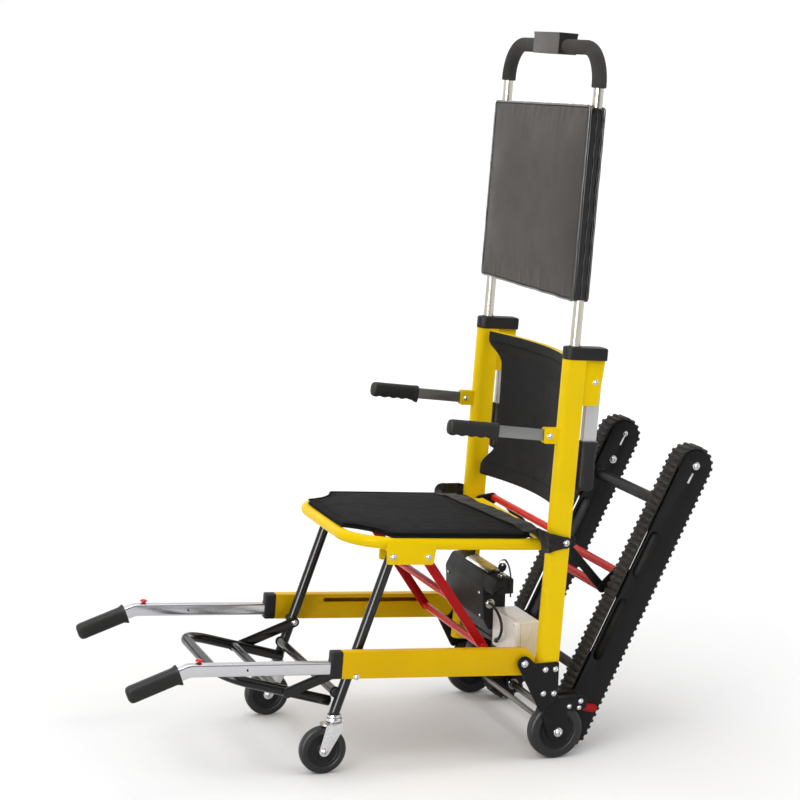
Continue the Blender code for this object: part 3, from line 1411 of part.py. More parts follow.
def make_track_frame(origin):
    """Two pairs of side plates with their beams, joined by crossbars."""
    to_pivot = turned(TRACK_LEAN, TRACK_PIVOT_Y - TRACK_DRIVE_Y, TRACK_PIVOT_Z - TRACK_DRIVE_Z)
    outline = hull_outline([(0, 0, SIDE_PLATE_RADIUS), (0, TRACK_CENTRES, SIDE_PLATE_RADIUS)], 18)
    shaft_hole = bore_size(SHAFT, SHAFT_CLEAR, 12)
    pieces = []
    for hand in (1, -1):
        spans = (sorted((hand * (TRACK_OUT - SIDE_PLATE), hand * TRACK_OUT)),
                 sorted((hand * TRACK_IN, hand * (TRACK_IN + SIDE_PLATE))))
        cheeks = []
        for span in spans:
            side = plate(outline, span[0], span[1], "side")
            cuts = []
            for start, stop in ((WINDOW_LOW, WINDOW_MID_LOW), (WINDOW_MID_HIGH, WINDOW_HIGH)):
                round_end = WINDOW_WIDTH / 2
                window = hull_outline([(-WINDOW_OFFSET, start + round_end, round_end),
                                       (-WINDOW_OFFSET, stop - round_end, round_end)], 8)
                cuts.append(plate(window, span[0] - 0.01, span[1] + 0.01, "window"))
            for along in (0, TRACK_CENTRES):
                hole = plate([(u, along + v) for u, v in circle(shaft_hole / 2, 12)], span[0] - 0.01, span[1] + 0.01,
                             "hole")
                cuts.append(hole)
            cheeks.append(cut(side, *cuts))
        beam = make_beam(hand)
        ear = hull_outline([(to_pivot[0], to_pivot[1], 0.014), (-0.014, to_pivot[1] + 0.012, 0.014),
                            (0.012, to_pivot[1] - 0.004, 0.012)])
        ear = plate(ear, *sorted((hand * (TRACK_OUT - SIDE_PLATE + 0.0004), hand * (TRACK_OUT - 0.0002))), "ear")
        pieces.append(join(cheeks[0], beam, cheeks[1], ear))
    bars = [cross_rod(TRACK_IN + 0.001, -CROSSBAR_OFFSET, CROSSBAR_PLACE, CROSSBAR, "upper"),
            cross_rod(TRACK_IN + 0.001, 0.006, LOW_BAR_PLACE, LOW_BAR, "lower")]
    return moved(join(bars[0], *pieces, bars[1]), tilt=-TRACK_LEAN, y=origin[0], z=origin[1])


def make_stay():
    """Bent bars from the head tube at the posts to the foot tube between the tracks, about the head."""
    place = on_track(-STAY_OFFSET, STAY_PLACE)
    foot = (place[0] - STAY_HEAD_Y, place[1] - STAY_HEAD_Z)
    knee = (STAY_KNEE_Y - STAY_HEAD_Y, STAY_KNEE_Z - STAY_HEAD_Z)
    reach = TRACK_IN - GAP
    inner = reach - STAY_BAR_INSET
    parts = [cross_rod(inner, knee[0], knee[1], STAY_TUBE, "knee"),
             cross_rod(POST_IN - STAY_TAB - GAP, 0, 0, STAY_HEAD_TUBE, "head")]
    for hand in (1, -1):
        span = sorted((hand * (inner - STAY_BAR_THICK), hand * inner))
        low = hull_outline([(foot[0], foot[1], STAY_BAR_WIDE / 2), (knee[0], knee[1], STAY_BAR_WIDE / 2)], 8)
        high = hull_outline([(knee[0], knee[1], STAY_BAR_WIDE / 2 - 0.0002), (0, 0, STAY_BAR_WIDE / 2 - 0.002)], 8)
        parts.append(plate(low, span[0], span[1], "link"))
        parts.append(plate(high, span[0] + 0.0002, span[1] - 0.0002, "bar"))
    return join(cross_rod(reach, foot[0], foot[1], STAY_TUBE, "stay"), *parts)


def build():
    for old in list(bpy.data.objects):
        bpy.data.objects.remove(old, do_unlink=True)

    chair = axis("chair", None, (0, 0))
    back = axis("back_axis", chair, (POST_FOOT_Y, POST_FOOT_Z), -POST_LEAN)

    for name, side in SIDES:
        add(name + "_post", make_post(side), "yellow", back)
        add(name + "_post_cap", make_cap(side), "plastic", back)
        add(name + "_base_plate", make_base_plate(side), "black", chair)
        add(name + "_wheel_fork", make_fork(side), "black", chair)
    add("backrest_bar", make_back_bar(), "yellow", back)
    add("backrest_sling", make_sling(), "fabric", back)
    add("rear_axle", cross_rod(POST_IN - GAP, 0, WHEEL_RADIUS, AXLE_ROD, "axle"), "steel", chair)
    add("drive_frame", make_drive_frame(), "black", chair)
    add("drive_housing", make_housing(), "plastic", chair)
    motor_y = cross_place()[0] - CROSS_SIZE / 2 - GAP - MOTOR_RADIUS
    motor_axis = axis("motor_axis", chair, (motor_y, MOTOR_Z))
    add("drive_motor", make_motor(), "black", motor_axis)
    add("battery_box", make_battery(), "white", chair)
    add("battery_lead", make_lead(), "rubber", chair)
    key_axis = axis("key_axis", chair, (-HOUSING_FRONT + HOUSING_DEEP - KEY_BACK, HOUSING_HIGH), x=KEY_X)
    add("key_switch", make_key(), "steel", key_axis)

    add("handle_tube", make_handle(), "steel", back)
    add("handle_sleeve", make_sleeve(), "rubber", back)
    add("control_box", make_box(), "plastic", back)
    add("headrest_pad", make_pad(), "vinyl", back)
    rocker_axis = axis("rocker_axis", back, (BOX_DEEP / 2 - ROCKER_SEAT, HANDLE_TOP))
    add("direction_rocker", make_rocker(), "red", rocker_axis)

    for name, side in SIDES:
        arm = axis(name + "_arm_axis", back, (ARM_PIVOT_OFFSET, ARM_HEIGHT), POST_LEAN - ARM_RISE, side * HALF)
        add(name + "_arm_bar", make_bar(ARM_BAR_LENGTH, ARM_BAR_TALL, ARM_BAR_WIDE), "grey", arm)
        grip = make_grip(ARM_GRIP_START, ARM_GRIP_LENGTH, ARM_GRIP_TALL, ARM_GRIP_WIDE, ARM_BAR_TALL, ARM_BAR_WIDE,
                         ARM_BAR_LENGTH, 0.005)
        add(name + "_arm_grip", grip, "rubber", arm)
        carry = axis(name + "_carry_axis", back, (CARRY_PIVOT_OFFSET, CARRY_HEIGHT), math.pi / 2, side * HALF)
        add(name + "_carry_bar", make_bar(CARRY_BAR_LENGTH, CARRY_BAR_DEEP, CARRY_BAR_WIDE), "grey", carry)
        grip = make_grip(CARRY_GRIP_START, CARRY_GRIP_LENGTH, CARRY_GRIP_DEEP, CARRY_GRIP_WIDE, CARRY_BAR_DEEP,
                         CARRY_BAR_WIDE, CARRY_BAR_LENGTH, 0.003)
        add(name + "_carry_grip", grip, "rubber", carry)

    seat = axis("seat_axis", chair, SEAT_HINGE, -SEAT_TILT)
    add("seat_frame", make_seat_frame(), "yellow", seat)
    add("seat_panel", make_panel(), "fabric", seat)
    add("seat_belt", make_belt(), "fabric", seat)
    brace = axis("brace_axis", chair, BRACE_PIVOT, BRACE_ANGLE)
    add("seat_brace", make_brace(), "red", brace)

    rails = axis("rail_axis", chair, RAIL_PIVOT, -RAIL_SLOPE)
    for name, side in SIDES:
        add(name + "_rail", make_rail(side), "yellow", rails)
        add(name + "_rail_cap", make_rail_cap(side), "plastic", rails)
        tube = axis(name + "_slide_axis", rails, (0, 0), 0.0, side * HALF)
        add(name + "_carry_tube", make_slide(), "chrome", tube)
        add(name + "_release_button", make_button(), "red", tube)
        hold = axis(name + "_hold_axis", tube, (-SLIDE_BEND, -SLIDE_DROP), SLIDE_BEND_ANGLE)
        bar_end = (SLIDE_END - SLIDE_BEND) / math.cos(SLIDE_BEND_ANGLE)
        grip = make_grip(SLIDE_GRIP_START, SLIDE_GRIP_LENGTH, SLIDE_GRIP_TALL, SLIDE_GRIP_WIDE, SLIDE_TALL,
                         SLIDE_WIDE, bar_end, 0.004)
        add(name + "_carry_tube_grip", grip, "rubber", hold)

    legs = axis("leg_axis", chair, LEG_PIVOT)
    add("front_leg_frame", make_legs(), "black", legs)
    feet = axis("footrest_axis", chair, LEG_PIVOT)
    add("footrest", make_footrest(), "black", feet)
    for name, side in SIDES:
        swivel = axis(name + "_swivel_axis", chair, (LEG_PIVOT[0] + leg_stem(), 0), 0.0, side * LEG_SPACING / 2)
        add(name + "_caster_fork", make_caster_fork(), "steel", swivel)
        roll = axis(name + "_caster_axis", swivel, (-CASTER_TRAIL, CASTER_RADIUS))
        add(name + "_caster_wheel", make_caster_wheel(), "rubber", roll)
        hub = axis(name + "_wheel_axis", chair, (0, WHEEL_RADIUS), 0.0,
                   side * (PLATE_IN + POST_IN + FORK_INNER_PLATE) / 2)
        add(name + "_rear_wheel", make_wheel(), "rubber", hub)

    pivot = (TRACK_PIVOT_Y, TRACK_PIVOT_Z)
    tracks = axis("track_axis", chair, pivot)
    drive = (TRACK_DRIVE_Y - pivot[0], TRACK_DRIVE_Z - pivot[1])
    add("track_frame", make_track_frame(drive), "black", tracks)
    shaft = axis("drive_axis", tracks, drive, -TRACK_LEAN)
    add("drive_shaft", make_drive_shaft(), "steel", shaft)
    for name, side in SIDES:
        add(name + "_track_belt", make_track_belt(side), "rubber", shaft)
        top = axis(name + "_idler_axis", shaft, (0, TRACK_CENTRES), 0.0, side * TRACK_HALF)
        add(name + "_idler", make_idler(), "plastic", top)
    stay = axis("stay_axis", chair, (STAY_HEAD_Y, STAY_HEAD_Z))
    add("track_stay", make_stay(), "red", stay)
    lever = axis("lever_axis", chair, (LEVER_PIVOT_Y, LEVER_PIVOT_Z))
    add("track_lock_lever", make_lever(), "red", lever)

    bpy.context.view_layer.update()
    front = 0.0
    rear = 0.0
    for piece in bpy.data.objects:
        if piece.type == "MESH":
            for vert in piece.data.vertices:
                y = (piece.matrix_world @ vert.co).y
                front = min(front, y)
                rear = max(rear, y)
    chair.location.y = -(front + rear) / 2
    bpy.context.view_layer.update()


build()
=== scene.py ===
import math

import bmesh
import bpy
from mathutils import Matrix, Vector, noise


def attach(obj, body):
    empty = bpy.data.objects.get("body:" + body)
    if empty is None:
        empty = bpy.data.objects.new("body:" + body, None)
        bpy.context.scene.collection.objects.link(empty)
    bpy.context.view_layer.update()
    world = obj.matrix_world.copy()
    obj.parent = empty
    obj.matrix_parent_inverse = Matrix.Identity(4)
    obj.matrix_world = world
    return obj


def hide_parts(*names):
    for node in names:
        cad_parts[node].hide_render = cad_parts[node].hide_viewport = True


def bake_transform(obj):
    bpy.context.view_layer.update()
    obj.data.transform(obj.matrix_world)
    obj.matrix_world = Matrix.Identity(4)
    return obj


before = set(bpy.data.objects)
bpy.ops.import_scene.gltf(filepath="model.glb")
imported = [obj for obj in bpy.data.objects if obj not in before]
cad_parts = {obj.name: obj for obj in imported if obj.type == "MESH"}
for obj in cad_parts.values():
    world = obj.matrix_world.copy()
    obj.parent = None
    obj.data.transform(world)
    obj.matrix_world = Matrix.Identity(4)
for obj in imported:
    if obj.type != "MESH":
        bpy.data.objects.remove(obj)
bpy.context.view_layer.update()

sides = (("left", 1), ("right", -1))
xAxis, yAxis, zAxis = Vector((1, 0, 0)), Vector((0, 1, 0)), Vector((0, 0, 1))
print("frame loaded")


def spot(y, z, tilt=0.0, x=0.0):
    return Matrix.Translation((x, y, z)) @ Matrix.Rotation(math.radians(tilt), 4, "X")


def linked(name, data):
    thing = bpy.data.objects.new(name, data)
    bpy.context.scene.collection.objects.link(thing)
    return thing


def lengthOf(path):
    return sum((b - a).length for a, b in zip(path, path[1:]))


# where each part of the chair stands at rest
chairAt = spot(0.281352, 0.0)
backAt = spot(0.252752, 0.135, -3.4)
seatAt = spot(0.285309, 0.457036, -3.6)
braceAt = spot(-0.00692, 0.44987, 34.105)
railAt = spot(0.199352, 0.217, -3.4)
legAt = spot(-0.171319, 0.21477)
driveAt = spot(0.337352, 0.049, -25.7)
stayAt = spot(0.315352, 0.468)
leverAt = spot(0.333352, 0.101)
keyAt = spot(0.216352, 0.362, 0.0, 0.082)
rockerAt = spot(0.35329, 1.49844, -3.4)
motorAt = spot(0.21163, 0.1692)


# camera at the photograph's angle
cameraSet = {"azimuth": 70.0, "elevation": 9.70674, "roll": 1.37871, "distance": 4.77183, "lens": 100.145,
             "target": (0.0, 0.00068, 0.743351)}


def makeCamera(s):
    az, el, roll = (math.radians(s[k]) for k in ("azimuth", "elevation", "roll"))
    back = Vector((math.sin(az) * math.cos(el), -math.cos(az) * math.cos(el), math.sin(el)))
    right = (-back).cross(zAxis).normalized()
    up = right.cross(-back)
    right, up = right * math.cos(roll) + up * math.sin(roll), up * math.cos(roll) - right * math.sin(roll)
    data = bpy.data.cameras.new("photoView")
    data.lens, data.sensor_width = s["lens"], 36.0
    data.clip_start, data.clip_end = 0.05, 600.0
    camera = linked("photoView", data)
    place = Matrix((right, up, back)).transposed().to_4x4()
    place.translation = Vector(s["target"]) + back * s["distance"]
    camera.matrix_world = place
    bpy.context.scene.camera = camera


makeCamera(cameraSet)


# node helpers
def plug(tree, socket, value):
    # another node's output is linked to the socket, and anything else becomes its value
    if isinstance(value, bpy.types.NodeSocket):
        tree.links.new(value, socket)
    else:
        socket.default_value = value


def addNode(tree, kind, sockets=None, **settings):
    made = tree.nodes.new(kind)
    for key, value in settings.items():
        setattr(made, key, value)
    for key, value in (sockets or {}).items():
        plug(tree, made.inputs[key], value)
    return made


def maths(tree, operation, *values):
    return addNode(tree, "ShaderNodeMath", dict(enumerate(values)), operation=operation).outputs[0]


def vectorMaths(tree, operation, *values):
    return addNode(tree, "ShaderNodeVectorMath", dict(enumerate(values)), operation=operation).outputs


def ramped(tree, value, low, high, first=0.3, last=0.7, **settings):
    sockets = {"Value": value, "From Min": first, "From Max": last, "To Min": low, "To Max": high}
    return addNode(tree, "ShaderNodeMapRange", sockets, **settings).outputs["Result"]


def speckled(tree, place, scale, **more):
    return addNode(tree, "ShaderNodeTexNoise", {"Vector": place, "Scale": scale, **more}).outputs["Fac"]


def mottled(tree, place, low, high, scale):
    return ramped(tree, speckled(tree, place, scale, Detail=4.0), low, high)


def mixColour(tree, factor, first, second):
    return addNode(tree, "ShaderNodeMix", {0: factor, 6: first, 7: second}, data_type="RGBA").outputs[2]


def tone(colour, share):
    return (*(min(1.0, c * share) for c in colour), 1.0)


def bumped(tree, shader, height, depth, strength, after=None):
    sockets = {"Strength": strength, "Distance": depth, "Height": height}
    if after is not None:
        sockets["Normal"] = after
    normal = addNode(tree, "ShaderNodeBump", sockets).outputs["Normal"]
    tree.links.new(normal, shader.inputs["Normal"])
    return normal


def newFinish(name):
    finish = bpy.data.materials.new(name)
    finish.use_nodes = True
    tree = finish.node_tree
    place = addNode(tree, "ShaderNodeTexCoord").outputs["Object"]
    return finish, tree, tree.nodes["Principled BSDF"], place


def setShader(tree, shader, values):
    for key, value in values.items():
        plug(tree, shader.inputs[key], value)


def coated(name, colour, rough, vary=0.08, spread=0.06, mottle=9.0, shine=0.25, coat=0.0, grain=900.0,
           depth=0.00012, bump=0.35, worn=None, wornShare=0.0):
    # paint, plastic or rubber: mottled colour, uneven gloss, fine grain, edges rubbed paler
    finish, tree, shader, place = newFinish(name)
    cloud = mottled(tree, place, 0.0, 1.0, mottle)
    paint = mixColour(tree, cloud, tone(colour, 1 - vary), tone(colour, 1 + vary))
    if worn:
        edge = addNode(tree, "ShaderNodeNewGeometry").outputs["Pointiness"]
        rubbed = ramped(tree, edge, 0.0, wornShare, 0.54, 0.66)
        patch = maths(tree, "MULTIPLY", rubbed, mottled(tree, place, 0.2, 1.0, 60.0))
        paint = mixColour(tree, patch, paint, (*worn, 1.0))
    setShader(tree, shader, {
        "Base Color": paint,
        "Roughness": mottled(tree, place, rough - spread, rough + spread, 22.0),
        "Specular IOR Level": shine,
        "Coat Weight": coat,
        "Coat Roughness": 0.1})
    bumped(tree, shader, speckled(tree, place, grain, Detail=2.0), depth, bump)
    return finish


def brushed(name, colour, vary, rough, spread, streak, metal=1.0):
    # drawn metal: streaks run along one axis
    finish, tree, shader, place = newFinish(name)
    stretch = addNode(tree, "ShaderNodeMapping", {"Vector": place, "Scale": streak})
    line = speckled(tree, stretch.outputs["Vector"], 1.0, Detail=5.0, Roughness=0.65)
    setShader(tree, shader, {
        "Base Color": mixColour(tree, line, tone(colour, 1 - vary), tone(colour, 1 + vary)),
        "Roughness": ramped(tree, line, rough - spread, rough + spread),
        "Metallic": metal})
    bumped(tree, shader, line, 0.00005, 0.25)
    return finish


def sineOf(tree, value, pitch):
    return maths(tree, "SINE", maths(tree, "MULTIPLY", value, 2 * math.pi / pitch))


def woven(name, colour, rough, axes, pitch, onMap=False, shine=0.12, sheen=0.03, depth=0.0004):
    # plain weave on two axes of the piece, or on its own UV map
    finish, tree, shader, place = newFinish(name)
    source = tree.nodes["Texture Coordinate"].outputs["UV"] if onMap else place
    parts = addNode(tree, "ShaderNodeSeparateXYZ", {0: source}).outputs
    waves = [sineOf(tree, parts[axis], length) for axis, length in zip(axes, pitch)]
    level = ramped(tree, maths(tree, "MULTIPLY", *waves), 0.0, 1.0, -1.0, 1.0)
    cloud = mottled(tree, place, 0.0, 1.0, 7.0)
    fade = mixColour(tree, cloud, tone(colour, 0.82), tone(colour, 1.15))
    setShader(tree, shader, {
        "Base Color": mixColour(tree, level, tone(colour, 0.55), fade),
        "Roughness": mottled(tree, place, rough - 0.06, rough + 0.05, 40.0),
        "Specular IOR Level": shine,
        "Sheen Weight": sheen,
        "Sheen Roughness": 0.45})
    crease = bumped(tree, shader, speckled(tree, place, 26.0, Detail=3.0), 0.0016, 0.3)
    bumped(tree, shader, level, depth, 0.6, crease)
    return finish


def vinylSkin(name, colour, rough, shine, coat):
    # softly creased and porous
    finish, tree, shader, place = newFinish(name)
    pores = addNode(tree, "ShaderNodeTexVoronoi", {"Vector": place, "Scale": 900.0},
                    feature="DISTANCE_TO_EDGE")
    cloud = mottled(tree, place, 0.0, 1.0, 5.0)
    setShader(tree, shader, {
        "Base Color": mixColour(tree, cloud, tone(colour, 0.85), tone(colour, 1.15)),
        "Roughness": mottled(tree, place, rough - 0.05, rough + 0.07, 14.0),
        "Specular IOR Level": shine,
        "Coat Weight": coat,
        "Coat Roughness": 0.14})
    folds = speckled(tree, place, 17.0, Detail=4.0, Distortion=0.6)
    crease = bumped(tree, shader, folds, 0.0022, 0.22)
    bumped(tree, shader, pores.outputs["Distance"], 0.00025, 0.25, crease)
    return finish


def milky(name, cool, warm, through):
    # moulded plastic, clouded between a cool and a warm tone
    finish, tree, shader, place = newFinish(name)
    cloud = mottled(tree, place, 0.0, 1.0, 16.0)
    setShader(tree, shader, {
        "Base Color": mixColour(tree, cloud, (*cool, 1.0), (*warm, 1.0)),
        "Roughness": mottled(tree, place, 0.24, 0.4, 30.0),
        "Transmission Weight": through,
        "IOR": 1.45})
    bumped(tree, shader, speckled(tree, place, 300.0), 0.0001, 0.3)
    return finish


finishes = {
    "yellow": coated("yellowPowderCoat", colour=(0.89, 0.61, 0.0006), rough=0.36, spread=0.05, vary=0.03,
                     coat=0.02, shine=0.06, grain=700.0, worn=(0.95, 0.72, 0.06), wornShare=0.3),
    # a darker copy of the yellow powder coat for the rails: painted shade, since less light falls on the
    # rails than on the posts
    "yellowShadedCopy": coated("yellowPowderCoatShadedCopy", colour=(0.76, 0.465, 0.001), rough=0.36, spread=0.05, vary=0.04,
                         coat=0.02, shine=0.08, grain=700.0, worn=(0.88, 0.62, 0.05), wornShare=0.3),
    "blackCoat": coated("blackPowderCoat", colour=(0.0065, 0.0065, 0.007), rough=0.4, vary=0.12,
                        grain=1100.0, shine=0.16, depth=0.0002, worn=(0.12, 0.12, 0.12), wornShare=0.4),
    "blackTube": coated("blackTubeEnamel", colour=(0.005, 0.005, 0.005), rough=0.16, spread=0.03, vary=0.1,
                        shine=0.34, worn=(0.1, 0.1, 0.1), wornShare=0.3),
    "moulded": coated("blackMouldedPlastic", colour=(0.019, 0.019, 0.0195), rough=0.46, vary=0.1,
                      grain=1500.0, shine=0.13, depth=0.0003, worn=(0.07, 0.07, 0.07), wornShare=0.3),
    "boxGrey": coated("boxGreyPlastic", colour=(0.085, 0.078, 0.073), rough=0.5, vary=0.06, grain=1500.0,
                      depth=0.0003, worn=(0.3, 0.3, 0.29), wornShare=0.4),
    "grip": coated("gripRubber", colour=(0.011, 0.011, 0.0105), rough=0.55, vary=0.14, grain=1300.0,
                   depth=0.0004, bump=0.5, worn=(0.05, 0.05, 0.05), wornShare=0.4),
    "foam": coated("handleFoam", colour=(0.046, 0.044, 0.041), rough=0.82, vary=0.15, grain=1900.0,
                   depth=0.0007, shine=0.1, bump=0.7, mottle=30.0),
    "tyre": coated("tyreRubber", colour=(0.019, 0.019, 0.02), rough=0.46, vary=0.14, grain=800.0,
                   depth=0.0003, shine=0.3, worn=(0.08, 0.08, 0.08), wornShare=0.4),
    "track": coated("trackRubber", colour=(0.019, 0.017, 0.015), rough=0.68, vary=0.2, grain=700.0,
                    depth=0.0005, bump=0.5, worn=(0.08, 0.07, 0.06), wornShare=0.6, mottle=25.0),
    "red": coated("redPaint", colour=(0.46, 0.006, 0.008), rough=0.34, vary=0.08, shine=0.12,
                  worn=(0.8, 0.2, 0.16), wornShare=0.5),
    # a brighter copy of the red paint: painted highlight on the brace's tubes and its bars' rims, and on
    # the stay's tubes
    "redLitCopy": coated("redPaintLitCopy", colour=(0.72, 0.018, 0.012), rough=0.24, vary=0.08, shine=0.16),
    "redPlastic": coated("redKnobPlastic", colour=(0.62, 0.01, 0.008), rough=0.24, vary=0.06, coat=0.3),
    "chrome": brushed("brightTube", colour=(0.55, 0.55, 0.57), vary=0.04, rough=0.2, spread=0.04,
                      streak=(260.0, 6.0, 260.0)),
    "steel": brushed("satinTube", colour=(0.5, 0.48, 0.415), vary=0.12, rough=0.2, spread=0.06,
                     streak=(330.0, 330.0, 5.0)),
    "rod": brushed("darkRod", colour=(0.2, 0.19, 0.175), vary=0.15, rough=0.22, spread=0.07,
                   streak=(5.0, 300.0, 300.0)),
    "flat": brushed("brushedFlatBar", colour=(0.22, 0.22, 0.217), vary=0.16, rough=0.42, spread=0.1,
                    streak=(500.0, 14.0, 500.0), metal=0.85),
    "flatPale": brushed("paleFlatBar", colour=(0.48, 0.48, 0.49), vary=0.14, rough=0.38, spread=0.1,
                        streak=(500.0, 500.0, 14.0), metal=0.9),
    "zinc": brushed("zincFork", colour=(0.62, 0.62, 0.63), vary=0.1, rough=0.26, spread=0.1,
                    streak=(90.0, 90.0, 60.0)),
    "bolt": brushed("zincBolt", colour=(0.57, 0.57, 0.58), vary=0.1, rough=0.2, spread=0.06,
                    streak=(400.0, 400.0, 400.0)),
    "sling": woven("slingCanvas", colour=(0.017, 0.0165, 0.017), rough=0.86, axes=("X", "Z"),
                   pitch=(0.0024, 0.0024)),
    "seat": woven("seatCanvas", colour=(0.012, 0.0116, 0.012), rough=0.84, axes=("X", "Y"),
                  pitch=(0.0022, 0.0022), shine=0.06, sheen=0.015),
    "webbing": woven("beltWebbing", colour=(0.018, 0.0175, 0.0175), rough=0.6, axes=("X", "Y"),
                     pitch=(0.0024, 0.0034), onMap=True, depth=0.0005, sheen=0.1),
    "vinyl": vinylSkin("headrestVinyl", colour=(0.048, 0.041, 0.036), rough=0.42, shine=0.14, coat=0.03),
    "gusset": vinylSkin("gussetVinyl", colour=(0.005, 0.0045, 0.0045), rough=0.16, shine=0.3, coat=0.15),
    "welt": vinylSkin("weltVinyl", colour=(0.01, 0.009, 0.0085), rough=0.16, shine=0.6, coat=0.6),
    "milky": milky("milkyBox", cool=(0.96, 0.95, 0.93), warm=(0.93, 0.89, 0.79), through=0.0),
    "clear": milky("clearCover", cool=(0.62, 0.62, 0.58), warm=(0.55, 0.55, 0.5), through=0.95),
    "screen": coated("darkScreen", colour=(0.02, 0.022, 0.025), rough=0.12, vary=0.1, coat=0.6),
    "thread": coated("blackThread", colour=(0.014, 0.014, 0.014), rough=0.8, vary=0.1, shine=0.05),
}
print("finishes ready:", len(finishes))


# outlines
def circlePoints(radius, count=24, start=0.0):
    return [(radius * math.cos(start + 2 * math.pi * i / count),
             radius * math.sin(start + 2 * math.pi * i / count)) for i in range(count)]


def roundCorners(corners, count=6):
    points = []
    for i, (u, v, radius) in enumerate(corners):
        here = Vector((u, v))
        if radius <= 0:
            points.append((u, v))
            continue
        back = (Vector(corners[i - 1][:2]) - here).normalized()
        ahead = (Vector(corners[(i + 1) % len(corners)][:2]) - here).normalized()
        half = back.angle(ahead) / 2
        centre = here + (back + ahead).normalized() * (radius / math.sin(half))
        first = here + back * (radius / math.tan(half)) - centre
        turn = first.angle_signed(here + ahead * (radius / math.tan(half)) - centre)
        for k in range(count + 1):
            point = centre + Matrix.Rotation(-turn * k / count, 2) @ first
            points.append((point.x, point.y))
    return points


def roundedBox(width, height, radius, count=5, u=0.0, v=0.0):
    w, h = width / 2, height / 2
    return roundCorners([(u + w, v + h, radius), (u - w, v + h, radius), (u - w, v - h, radius),
                         (u + w, v - h, radius)], count)


def hullOutline(rounds, count=48):
    # the outline of a band drawn tight round circles (u, v, radius)
    cloud = sorted({(u + p, v + q) for u, v, radius in rounds for p, q in circlePoints(radius, count)})

    def half(points):
        chain = []
        for p in points:
            while len(chain) > 1:
                a, b = chain[-2], chain[-1]
                if (b[0] - a[0]) * (p[1] - a[1]) - (b[1] - a[1]) * (p[0] - a[0]) > 1e-10:
                    break
                chain.pop()
            chain.append(p)
        return chain[:-1]

    return half(cloud) + half(cloud[::-1])


def bentPath(points, steps=12):
    # straight runs joined by round bends; points are (place, bend radius)
    path = [points[0][0]]
    for before, (here, radius), after in zip(points, points[1:], points[2:]):
        back, ahead = (before[0] - here).normalized(), (after[0] - here).normalized()
        half = back.angle(ahead) / 2
        centre = here + (back + ahead).normalized() * (radius / math.sin(half))
        first = here + back * (radius / math.tan(half)) - centre
        axis = first.cross(here + ahead * (radius / math.tan(half)) - centre).normalized()
        path += [centre + Matrix.Rotation((math.pi - 2 * half) * k / steps, 3, axis) @ first
                 for k in range(steps + 1)]
    return path + [points[-1][0]]


def denseLoop(points, pitch):
    made = []
    for a, b in zip(points, points[1:] + points[:1]):
        steps = max(1, round((b - a).length / pitch))
        made += [a.lerp(b, i / steps) for i in range(steps)]
    return made


# solids
def addRings(shape, rings, closed=False, capped=True):
    made = [[shape.verts.new(p) for p in ring] for ring in rings]
    pairs = list(zip(made, made[1:])) + ([(made[-1], made[0])] if closed else [])
    faces = []
    for low, high in pairs:
        for i in range(len(low)):
            k = (i + 1) % len(low)
            faces.append(shape.faces.new((low[i], low[k], high[k], high[i])))
    if capped and not closed:
        faces += [shape.faces.new(made[0][::-1]), shape.faces.new(made[-1])]
    bmesh.ops.recalc_face_normals(shape, faces=faces)
    return made


def sweepRings(path, section, across, closed=False):
    rings = []
    count = len(path)
    for i, here in enumerate(path):
        if closed:
            ahead, behind = path[(i + 1) % count] - here, here - path[i - 1]
        else:
            ahead = path[min(i + 1, count - 1)] - path[min(i, count - 2)]
            behind = path[max(i, 1)] - path[max(i - 1, 0)]
        along = (ahead.normalized() + behind.normalized()).normalized()
        u = (across - along * across.dot(along)).normalized()
        v = along.cross(u)
        outline = section(i / max(1, count - 1)) if callable(section) else section
        rings.append([here + u * p + v * q for p, q in outline])
    return rings


def addTube(shape, path, radius, across=xAxis, sides=28, edge=0.0012, closed=False):
    rings = sweepRings(path, circlePoints(radius, sides), across, closed)
    if closed:
        return addRings(shape, rings, True)
    inset = 1 - edge / radius
    first, last = path[0], path[-1]
    start = [first + (p - first) * inset for p in rings[0]]
    stop = [last + (p - last) * inset for p in rings[-1]]
    rings[0] = [p + (path[1] - first).normalized() * edge for p in rings[0]]
    rings[-1] = [p + (path[-2] - last).normalized() * edge for p in rings[-1]]
    return addRings(shape, [start, *rings, stop])


def addRod(shape, start, stop, radius, across=xAxis, sides=28, edge=0.0012):
    return addTube(shape, [Vector(start), Vector(stop)], radius, across, sides, edge)


def addCrossTube(shape, x0, x1, y, z, radius, sides=28, edge=0.001):
    return addRod(shape, (x0, y, z), (x1, y, z), radius, zAxis, sides, edge)


def addSwept(shape, path, section, across, closed=False):
    return addRings(shape, sweepRings(path, section, across, closed), closed)


def addTurned(shape, stops, at=(0.0, 0.0, 0.0), count=32, across=False, closed=False):
    # circles (radius, offset) stacked along Z, or along X where across is set
    rings = []
    for radius, offset in stops:
        flat = circlePoints(radius, count)
        rings.append([Vector(at) + Vector((offset, u, v) if across else (u, v, offset)) for u, v in flat])
    return addRings(shape, rings, closed)


def addLathe(shape, profile, y=0.0, z=0.0, sides=56, x=0.0):
    # a closed profile (radius, x) turned about an axis across the chair
    rings = []
    for k in range(sides):
        c, s = math.cos(2 * math.pi * k / sides), math.sin(2 * math.pi * k / sides)
        rings.append([Vector((x + p, y + r * c, z + r * s)) for r, p in profile])
    return addRings(shape, rings, True)


def handed(profile, hand):
    # a turned profile as it stands on one side of the chair or the other
    return [(radius, hand * out) for radius, out in profile][::hand]


def evaluated(thing):
    # a new mesh of an object with its modifiers applied
    return bpy.data.meshes.new_from_object(thing.evaluated_get(bpy.context.evaluated_depsgraph_get()))


